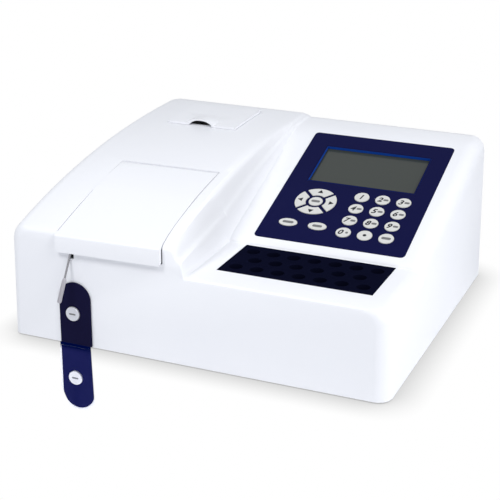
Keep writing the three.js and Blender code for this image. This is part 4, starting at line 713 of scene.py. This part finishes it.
# %% Bars, the point and the arrows
DIGIT_BAR_LENGTH = 5.6
DIGIT_BAR_HEIGHT = 3.2
DIGIT_BAR_SHIFT = 3.7
LONG_BAR_HEIGHT = 3.8
BAR_CORNER_SHARE = 0.4
POINT_KEY = 10
POINT_RADIUS = 1.9
FUNCTION_KEY = 11
TRIANGLE = 3
ARROW_RADIUS = 3.6
PAD_X = 257.4
PAD_DOWN = 135.4
PAD_RING = 16.8
OVAL_SHIFT = 16.2
OVAL_DOWN = 176.2


def bar(length, height):
    return slab(length, height, INK, BAR_CORNER_SHARE * height)


def disc(radius, sides=24):
    return turned([(0, INK / 2), (radius, INK / 2), (radius, -INK / 2), (0, -INK / 2)], sides)


for index, digit in enumerate(digits):
    if digit == "1":
        continue
    x, down = key_place(index)
    length = DIGIT_BAR_LENGTH / 2 if digit == "0" else DIGIT_BAR_LENGTH
    parts = [(bar(length, DIGIT_BAR_HEIGHT), on_console(x + DIGIT_BAR_SHIFT, down, KEY_TOP))]
    add_parts("bar_" + digit, parts, legend_grey, "key_" + digit + "_body")

parts = [(disc(POINT_RADIUS), on_console(*key_place(POINT_KEY), KEY_TOP))]
add_parts("mark_point", parts, legend_ink, "key_point_body")
long_bars = {
    "function": (*key_place(FUNCTION_KEY), 10.0),
    "enter": (PAD_X, PAD_DOWN, 9.5),
    "oval_left": (PAD_X - OVAL_SHIFT, OVAL_DOWN, 12.0),
    "oval_right": (PAD_X + OVAL_SHIFT, OVAL_DOWN, 10.5),
}
for name, (x, down, length) in long_bars.items():
    parts = [(bar(length, LONG_BAR_HEIGHT), on_console(x, down, KEY_TOP))]
    add_parts("bar_" + name, parts, legend_grey, "key_" + name + "_body")

for quarter, name in enumerate(("right", "up", "left", "down")):
    angle = quarter * math.pi / 2
    x = PAD_X + PAD_RING * math.cos(angle)
    down = PAD_DOWN - PAD_RING * math.sin(angle)
    arrow_place = on_console(x, down, KEY_TOP) @ Matrix.Rotation(angle, 4, "Z")
    parts = [(disc(ARROW_RADIUS, TRIANGLE), arrow_place)]
    add_parts("arrow_" + name, parts, legend_ink, "key_" + name + "_body")
print("bars", len(long_bars) + len(digits) - 1)

# %% [markdown]
# ## The sipper
#
# The sample is drawn up through a thin steel tube. Its lower part wears a milky sheath, so that it can
# be wiped. A curve with a round bevel could make both, but it has no bore and no chamfers. So both are
# lathe parts about one leaning axis, and the tube is hollow.

# %% Needle and sheath
SIPPER_TIP = Vector((60.3, -18.2, 51.9))
SIPPER_TOP = Vector((66.1, 5, 111.5))
NEEDLE_RADIUS = 1.1
BORE_RADIUS = 0.5
SHEATH_RADIUS = 2.15
SHEATH_SHARE = 0.4
SHEATH_CHAMFER = 0.55

sipper_length = (SIPPER_TOP - SIPPER_TIP).length
sheath_length = SHEATH_SHARE * sipper_length
sipper_place = at(*SIPPER_TIP, facing=SIPPER_TOP - SIPPER_TIP)
needle = turned([
    (BORE_RADIUS, 0),
    (NEEDLE_RADIUS, 0),
    (NEEDLE_RADIUS, sipper_length),
    (BORE_RADIUS, sipper_length),
    (BORE_RADIUS, 0),
])
sipper_needle = add_parts("sipper_needle", [(needle, sipper_place)], needle_steel, "housing")
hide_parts("sipper_tube")
sheath = turned([
    (NEEDLE_RADIUS, 0),
    (SHEATH_RADIUS - SHEATH_CHAMFER, 0),
    (SHEATH_RADIUS, 2 * SHEATH_CHAMFER),
    (SHEATH_RADIUS, sheath_length - 4 * SHEATH_CHAMFER),
    (NEEDLE_RADIUS + SHEATH_CHAMFER / 2, sheath_length),
    (NEEDLE_RADIUS, sheath_length),
    (NEEDLE_RADIUS, 0),
])
add_parts("sipper_sheath", [(sheath, sipper_place)], milky_sheath, "housing")
print("sipper length", round(sipper_length, 1), "sheath", round(sheath_length, 1))

# %% [markdown]
# ## The aspirate button's mark
#
# The button that draws the sample is a silver cap with a small printed bar. The bar could be joined to
# the cap, but as a piece of its own it keeps its ink's material, and it rides on the button's body, so
# it moves in with the button.

# %% Bar on the button
BUTTON_FACE = (66.1, -3.5, 34.6)
BUTTON_BAR_LENGTH = 7.4
BUTTON_BAR_HEIGHT = 1.7
parts = [(bar(BUTTON_BAR_LENGTH, BUTTON_BAR_HEIGHT), at(*BUTTON_FACE, FRONTWARD))]
add_parts("bar_aspirate", parts, legend_grey, body_of_node("aspirate_button"))

# %% [markdown]
# ## Fasteners
#
# The same kind of socket screw holds many parts, so one function turns its head: a low cylinder with a
# chamfered shoulder and a recess in its top. Only the heads are made, because the shanks are never seen.
# A screw's size is its head's radius and height, and its outline follows as shares of these.

# %% Screw heads
SCREW_SIDES = 18
SOCKET_SHARE = 0.5
SOCKET_TAPER_SHARE = 0.9
SOCKET_FLOOR_SHARE = 0.4
SHOULDER_RADIUS_SHARE = 0.82
SHOULDER_HEIGHT_SHARE = 0.65


def screw_head(radius, height):
    socket = SOCKET_SHARE * radius
    socket_floor = SOCKET_FLOOR_SHARE * height
    outline = [
        (0, socket_floor),
        (SOCKET_TAPER_SHARE * socket, socket_floor),
        (socket, height),
        (SHOULDER_RADIUS_SHARE * radius, height),
        (radius, SHOULDER_HEIGHT_SHARE * height),
        (radius, 0),
        (0, 0),
    ]
    return turned(outline, SCREW_SIDES)


def screws(name, places, facing, size):
    parts = [(screw_head(*size), at(*place, facing)) for place in places]
    add_parts(name, parts, steel, "housing")


# %% Screws of the flow cell block and the pump
CELL_SCREW = (1.9, 1.6)
CELL_X = 80
CELL_SCREW_SHIFT = 10.6
CELL_SCREW_ROWS = (99.4, 126.6)
CELL_BLOCK_TOP = 104.3
PUMP_SCREW = (2.4, 1.8)
PUMP_X = 128
PUMP_SCREW_SHIFT = 26
PUMP_SCREW_ROWS = (35.5, 93)
PUMP_TOP = 80.3


def both_sides(middle, shift, rows, top):
    return [(middle + side * shift, row, top) for side in (-1, 1) for row in rows]


cell_screws = both_sides(CELL_X, CELL_SCREW_SHIFT, CELL_SCREW_ROWS, CELL_BLOCK_TOP)
screws("cell_block_screws", cell_screws, UPWARD, CELL_SCREW)
pump_screws = both_sides(PUMP_X, PUMP_SCREW_SHIFT, PUMP_SCREW_ROWS, PUMP_TOP)
screws("pump_screws", pump_screws, UPWARD, PUMP_SCREW)

# %% [markdown]
# ## Pump fittings
#
# A hexagon nut holds the rollers' carrier on its shaft and turns with it. A cylinder with six sides
# would do, but spinning an outline in six steps gives its chamfer too. Where the tube enters and leaves
# the horseshoe track, a ring stops it from creeping.

# %% Rotor nut and tube rings
HEXAGON = 6
RING_SIDES = 20
ROTOR_Y = 62
ROTOR_TOP = 90.6
TUBE_RING_Y = 81
TUBE_Z = 85.6
TUBE_PATH = 21.3
NUT = [(0, 2.4), (1.6, 2.4), (1.6, 1.9), (2.1, 1.9), (2.1, 2.4), (3.9, 2.4), (4.3, 1.9), (4.3, 0), (0, 0)]
TUBE_RING = [(2.05, -2), (3.3, -2), (3.3, 2), (2.05, 2), (2.05, -2)]
parts = [(turned(NUT, HEXAGON), at(PUMP_X, ROTOR_Y, ROTOR_TOP))]
add_parts("rotor_nut", parts, steel, "pump_wheel")
ring_places = [at(PUMP_X + side * TUBE_PATH, TUBE_RING_Y, TUBE_Z, REARWARD) for side in (-1, 1)]
parts = [(turned(TUBE_RING, RING_SIDES), place) for place in ring_places]
add_parts("tube_rings", parts, black_plastic, "housing")

# %% [markdown]
# ## Inside the printer
#
# The paper runs from the roll over the rubber platen, where a thin heating bar prints on it. A flat
# plane could be bent along a curve by a modifier, but the path is short. So the web is a line along
# that path, pushed across its width and given the paper's thickness.

# %% Paper web
WEB_LEAVES_ROLL = 21.2 * MM
WEB_ON_PLATEN = 4.7 * MM
WEB_DEGREES_ON_PLATEN = range(75, 200, 15)
WEB_WIDTH = 56 * MM
WEB_THICKNESS = 0.1 * MM
roll_centre = box_centre("paper_roll")
platen_centre = box_centre("platen_roller")


def moved_verts(geometry):
    return [item for item in geometry if isinstance(item, bmesh.types.BMVert)]


web_path = [roll_centre + Vector((0, 0, WEB_LEAVES_ROLL))]
for angle in WEB_DEGREES_ON_PLATEN:
    turn = math.radians(angle)
    web_path.append(platen_centre + WEB_ON_PLATEN * Vector((0, math.cos(turn), math.sin(turn))))
web_form = bmesh.new()
web_points = [web_form.verts.new(point - Vector((WEB_WIDTH / 2, 0, 0))) for point in web_path]
web_edges = [web_form.edges.new(pair) for pair in zip(web_points, web_points[1:])]
pushed = bmesh.ops.extrude_edge_only(web_form, edges=web_edges)["geom"]
bmesh.ops.translate(web_form, vec=(WEB_WIDTH, 0, 0), verts=moved_verts(pushed))
bmesh.ops.solidify(web_form, geom=web_form.faces[:], thickness=WEB_THICKNESS)
bmesh.ops.recalc_face_normals(web_form, faces=web_form.faces)
web_mesh = finish_form(web_form, "paper_web", SMALL_PART_SMOOTH)
print("paper web", len(web_path), "points along, with", len(web_mesh.polygons), "faces")
add_object("paper_web", web_mesh, paper, "housing")

# %% Print head
HEAD_REACH = 5.9 * MM
HEAD_SIZE = (56, 1.7, 8)
HEAD_CORNER = 0.3
head_place = Matrix.Translation(platen_centre - Vector((0, HEAD_REACH, 0))) @ Matrix.Scale(MM, 4)
parts = [(slab(*HEAD_SIZE, HEAD_CORNER, round_all=True), head_place)]
add_parts("print_head", parts, cast_aluminium, "housing")

# %% [markdown]
# ## Rear connections
#
# Screws hold the rear panel and the fan. The serial connector is a D-shaped shell of pressed steel round
# nine pins, on a flange with two hexagon posts that take the plug's screws. Two solids could be
# subtracted to get the hollow shell, but the operators do it more cleanly. It starts as one four-sided
# face: its corners are rounded, it is pushed out, and its end is inset and pushed back in.

# %% Panel and fan screws
REAR_SCREW = (2.8, 1.6)
REAR_FACE_Y = 364.5
PANEL_SCREW_COLUMNS = (30, 240, 364)
PANEL_SCREW_HEIGHTS = (12, 99)
FAN_X = 316
FAN_Z = 58
FAN_SCREW_SHIFT = 25
panel_screws = [(x, REAR_FACE_Y, z) for x in PANEL_SCREW_COLUMNS for z in PANEL_SCREW_HEIGHTS]
screws("panel_screws", panel_screws, REARWARD, REAR_SCREW)
fan_screws = [
    (FAN_X + side * FAN_SCREW_SHIFT, REAR_FACE_Y, FAN_Z + rise * FAN_SCREW_SHIFT)
    for side in (-1, 1)
    for rise in (-1, 1)
]
screws("fan_screws", fan_screws, REARWARD, REAR_SCREW)

# %% The serial connector's shell
SLANT_SHARE = 0.24
SHELL_SEGMENTS = 4


def d_shell(width, height, corner, reach, wall, depth):
    form = bmesh.new()
    slant = SLANT_SHARE * height
    corners = [(slant - width / 2, -height / 2), (width / 2 - slant, -height / 2)]
    corners += [(width / 2, height / 2), (-width / 2, height / 2)]
    form.faces.new([form.verts.new((x, y, 0)) for x, y in corners])
    bmesh.ops.bevel(
        form,
        geom=form.verts[:],
        offset=corner,
        segments=SHELL_SEGMENTS,
        profile=0.5,
        affect="VERTICES",
        material=-1,
    )
    raised = bmesh.ops.extrude_face_region(form, geom=form.faces[:])["geom"]
    bmesh.ops.translate(form, vec=(0, 0, reach), verts=moved_verts(raised))
    end = [item for item in raised if isinstance(item, bmesh.types.BMFace)]
    bmesh.ops.inset_region(form, faces=end, thickness=wall, depth=0)
    cup = bmesh.ops.extrude_face_region(form, geom=end)["geom"]
    bmesh.ops.translate(form, vec=(0, 0, -depth), verts=moved_verts(cup))
    bmesh.ops.delete(form, geom=end, context="FACES")
    bmesh.ops.recalc_face_normals(form, faces=form.faces)
    return form


# %% Serial connector
SERIAL_X = 150
SERIAL_Z = 44
FLANGE_SIZE = (31, 12.5, 1.2)
FLANGE_CORNER = 1.5
FLANGE_MIDDLE_Y = 365.4
FLANGE_FACE_Y = 366
SHELL_WIDTH = 17
SHELL_HEIGHT = 8.4
SHELL_CORNER = 1.7
SHELL_REACH = 4.8
SHELL_WALL = 0.5
SHELL_DEPTH = 4.4
PIN_FOOT_Y = FLANGE_FACE_Y + 0.4
PIN_PITCH = 2.77
PIN_ROW_RISE = 1.42
PIN_SIDES = 10
POST_SHIFT = 12.5
POST = [(0, 3.2), (1.2, 3.2), (1.2, 4.8), (2.4, 4.8), (2.7, 4.4), (2.7, 0), (0, 0)]
PIN = [(0, 4.2), (0.3, 4.1), (0.5, 3.6), (0.5, 0), (0, 0)]
flange = slab(*FLANGE_SIZE, FLANGE_CORNER)
shell = d_shell(SHELL_WIDTH, SHELL_HEIGHT, SHELL_CORNER, SHELL_REACH, SHELL_WALL, SHELL_DEPTH)
parts = [
    (flange, at(SERIAL_X, FLANGE_MIDDLE_Y, SERIAL_Z, REARWARD)),
    (shell, at(SERIAL_X, FLANGE_FACE_Y, SERIAL_Z, REARWARD)),
]
for side in (-1, 1):
    post_place = at(SERIAL_X + side * POST_SHIFT, FLANGE_FACE_Y, SERIAL_Z, REARWARD)
    parts.append((turned(POST, HEXAGON), post_place))
serial_shell = add_parts("serial_shell", parts, steel, "housing")
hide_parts("serial_port")
pins = []
for count, rise in ((5, PIN_ROW_RISE), (4, -PIN_ROW_RISE)):
    for index in range(count):
        x = SERIAL_X + PIN_PITCH * (index - (count - 1) / 2)
        pins.append((turned(PIN, PIN_SIDES), at(x, PIN_FOOT_Y, SERIAL_Z + rise, REARWARD)))
add_parts("serial_pins", pins, brass, "housing")

# %% [markdown]
# ## Marks on the mains switch
#
# The rocker shows a line for on and a ring for off. Its two faces slope to a shallow valley, so one flat
# print over both would sink in or stand off. Each mark is turned to its own face instead, and both tilt
# with the rocker.

# %% On and off
ROCKER_X = 76
ROCKER_Y = 364.3
UPPER_FACE = (0, 5.55, -3.2)
LOWER_FACE = (0, 5.55, 1.6)
STROKE_REACH = 3.02
STROKE_Z = 83.8
STROKE_SIZE = (0.9, 3, 0.1)
STROKE_CORNER = 0.2
RING_REACH = 2.22
RING_Z = 78.2
RING = [(0.95, -0.05), (1.5, -0.05), (1.5, 0.05), (0.95, 0.05), (0.95, -0.05)]
stroke = slab(*STROKE_SIZE, STROKE_CORNER)
parts = [
    (stroke, at(ROCKER_X, ROCKER_Y + STROKE_REACH, STROKE_Z, UPPER_FACE)),
    (turned(RING), at(ROCKER_X, ROCKER_Y + RING_REACH, RING_Z, LOWER_FACE)),
]
add_parts("switch_marks", parts, legend_white, body_of_node("power_switch"))

# %% [markdown]
# ## Feet and the underside
#
# A rubber foot is a low tapered disc with a chamfered rim and a recess for its screw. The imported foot
# has neither, so its whole outline is turned again here. The pan is held by screws near its rim.

# %% Feet with their screws
FOOT_SIDES = 32
FOOT_SCREW = (3.2, 1.2)
RECESS = 1.6
FOOT = [(0, RECESS), (4.2, RECESS), (4.4, 0.4), (4.8, 0), (8.4, 0), (9, 0.6), (8, 3.2), (0, 3.2)]
for node in ("front_left_foot", "front_right_foot", "rear_left_foot", "rear_right_foot"):
    foot_place = Matrix.Translation(bottom_centre(node)) @ Matrix.Scale(MM, 4)
    parts = [(turned(FOOT, FOOT_SIDES), foot_place)]
    foot = add_parts(node + "_finish", parts, rubber, "housing")
    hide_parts(node)
    head_place = foot_place @ Matrix.Translation((0, 0, RECESS)) @ Matrix.Rotation(math.pi, 4, "X")
    add_parts(node + "_screw", [(screw_head(*FOOT_SCREW), head_place)], steel, "housing")

# %% Screws of the base pan
PAN_SCREW = (3, 1.1)
PAN_FACE_Z = 2
PAN_SCREW_COLUMNS = (14, 197, 381)
PAN_SCREW_ROWS = (60, 300)
pan_screws = [(x, y, PAN_FACE_Z) for x in PAN_SCREW_COLUMNS for y in PAN_SCREW_ROWS]
screws("pan_screws", pan_screws, DOWNWARD, PAN_SCREW)

# %% [markdown]
# ## Floor
#
# A plain white floor. To the camera it glows white, with a painted soft shadow where something
# stands on it, which an ambient occlusion node gives; the lamps' own shadows don't show there. A
# narrow patch in front of the blue plate is polished like glass, so that the plate is mirrored in it;
# polish all over would mirror the whole front. The patch could be a mesh of its own, but a mask in the
# floor's material lets it fade in. It has five straight edges; each is a direction across the floor and
# the two distances along it between which the polish comes in. Right under the instrument's edge the
# occlusion darkens the mirror, a painted contact shadow, so that the plate and its image meet, and a
# faint blue glow makes the image bluer than the plate. Light that reaches the object from below comes
# from a plain white floor.

# %% Floor material
CONTACT_REACH = 0.036
CONTACT_SAMPLES = 16
CONTACT_DARKEST = 0.4
MIRROR_CONTACT = (0.56, 0.68)
MIRROR_LIFT = 1.3
MIRROR_ROUGHNESS = 0.015
MIRROR_BLUE = (0, 0.003, 0.045, 1)
FLOOR_WHITE = (0.9, 0.9, 0.91, 1)
PATCH_EDGES = (
    (Vector((1, 0.605, 0)), 47.8, 48.6),
    (Vector((-1, -0.605, 0)), -84.6, -83.8),
    (Vector((1.125, 1, 0)), 26.9, 27.9),
    (Vector((0, -1, 0)), -8, -6),
    (Vector((0, 1, 0)), -119.5, -118.5),
)


def stretched(tree, value, low=0.0, high=1.0, to_low=0.0, to_high=1.0):
    """The value, moved so that low becomes to_low and high becomes to_high, and held between them."""
    node = tree.nodes.new("ShaderNodeMapRange")
    for label, number in (("From Min", low), ("From Max", high), ("To Min", to_low), ("To Max", to_high)):
        node.inputs[label].default_value = number
    tree.links.new(value, node.inputs["Value"])
    return node.outputs["Result"]


def patch_mask(tree):
    place = tree.nodes.new("ShaderNodeTexCoord").outputs["Object"]
    fades = []
    for direction, bare, polished in PATCH_EDGES:
        distance = tree.nodes.new("ShaderNodeVectorMath")
        distance.operation = "DOT_PRODUCT"
        distance.inputs[1].default_value = direction
        tree.links.new(place, distance.inputs[0])
        start = direction.dot(laid(0, 0, 0))
        fades.append(stretched(tree, distance.outputs["Value"], start + bare * MM, start + polished * MM))
    mask = fades[0]
    for fade in fades[1:]:
        mask = combined(tree, "MULTIPLY", mask, fade)
    return mask


def make_floor_material():
    material = bpy.data.materials.new("bench_top")
    material.use_nodes = True
    tree = material.node_tree
    tree.nodes.clear()
    link = tree.links.new
    contact = node_in(tree, "ShaderNodeAmbientOcclusion", Color=(1, 1, 1, 1), Distance=CONTACT_REACH)
    contact.samples = CONTACT_SAMPLES
    openness = contact.outputs["AO"]
    # To the camera the floor glows white, darkened by the occlusion near the instrument: a painted contact
    # shadow.
    painted_shadow_white = node_in(tree, "ShaderNodeEmission", Strength=1.0)
    link(stretched(tree, openness, to_low=CONTACT_DARKEST), painted_shadow_white.inputs["Color"])
    # The mirror's colour is darkened by the occlusion right under the instrument's edge, a painted contact
    # shadow, and lifted above white further out.
    polish = node_in(tree, "ShaderNodeBsdfGlossy", Roughness=MIRROR_ROUGHNESS)
    link(stretched(tree, openness, *MIRROR_CONTACT, to_high=MIRROR_LIFT), polish.inputs["Color"])
    blue_glow = node_in(tree, "ShaderNodeEmission", Color=MIRROR_BLUE, Strength=1.0)
    mirror = tree.nodes.new("ShaderNodeAddShader")
    link(polish.outputs[0], mirror.inputs[0])
    link(blue_glow.outputs[0], mirror.inputs[1])
    seen_floor = mixed_shader(tree, patch_mask(tree), painted_shadow_white, mirror)
    plain_floor = node_in(tree, "ShaderNodeBsdfDiffuse", Color=FLOOR_WHITE)
    camera_rays = tree.nodes.new("ShaderNodeLightPath").outputs["Is Camera Ray"]
    whole_floor = mixed_shader(tree, camera_rays, plain_floor, seen_floor)
    leave = tree.nodes.new("ShaderNodeOutputMaterial")
    link(whole_floor.outputs[0], leave.inputs["Surface"])
    return material


# %% Floor
FLOOR_REACH = 6
floor_form = bmesh.new()
bmesh.ops.create_grid(floor_form, x_segments=1, y_segments=1, size=FLOOR_REACH)
floor_mesh = bpy.data.meshes.new("floor")
floor_form.to_mesh(floor_mesh)
floor_form.free()
floor = bpy.data.objects.new("floor", floor_mesh)
floor.data.materials.append(make_floor_material())
bpy.context.scene.collection.objects.link(floor)
print("floor", floor.dimensions)

# %% [markdown]
# ## Light
#
# The room is an even soft light, a little cool, and to the camera, mirrors and glass it is plain white.
# A large panel at the right lights the deck and the right side, and a low one beside it reaches the
# stepped wall. A third hangs close in front of the lid, so that the lid's front is the brightest part
# and its lip throws a soft shadow. A brighter room alone would light all sides alike and hide the steps
# in the white housing.

# %% Room light
ROOM_LEVEL = 0.44
ROOM_COLOR = (0.86, 0.91, 1.0, 1)

world = bpy.data.worlds.new("room")
world.use_nodes = True
bpy.context.scene.world = world
room = world.node_tree
room.nodes.clear()
lit = node_in(room, "ShaderNodeBackground", Color=ROOM_COLOR, Strength=ROOM_LEVEL)
seen = node_in(room, "ShaderNodeBackground", Color=(1, 1, 1, 1), Strength=1.0)
rays = room.nodes.new("ShaderNodeLightPath").outputs
white_to = rays["Is Camera Ray"]
for label in ("Is Glossy Ray", "Is Transmission Ray"):
    white_to = combined(room, "MAXIMUM", white_to, rays[label])
room_shader = mixed_shader(room, white_to, lit, seen)
world_out = room.nodes.new("ShaderNodeOutputWorld")
room.links.new(room_shader.outputs[0], world_out.inputs["Surface"])
print("room light", ROOM_LEVEL)

# %% Lamps: each panel's place and size in metres and its power in watts
PANELS = {
    "key_panel": ((1.15, -0.5, 1.2), 0.8, 13.6),
    "side_panel": ((1.5, -0.15, 0.4), 0.5, 3.0),
    "lid_panel": ((-0.3, -0.6, 0.77), 0.26, 3.2),
}

for name, (place, size, power) in PANELS.items():
    lamp = bpy.data.lights.new(name, "AREA")
    lamp.shape = "SQUARE"
    lamp.size = size
    lamp.energy = power
    holder = bpy.data.objects.new(name, lamp)
    holder.location = place
    holder.rotation_euler = (-Vector(place)).to_track_quat("-Z", "Y").to_euler()
    bpy.context.scene.collection.objects.link(holder)
    print("lamp", name, power, "W")

# %% [markdown]
# ## The view transform
# #
# The render shows its colours through the Standard view transform.

bpy.context.scene.view_settings.view_transform = "Standard"
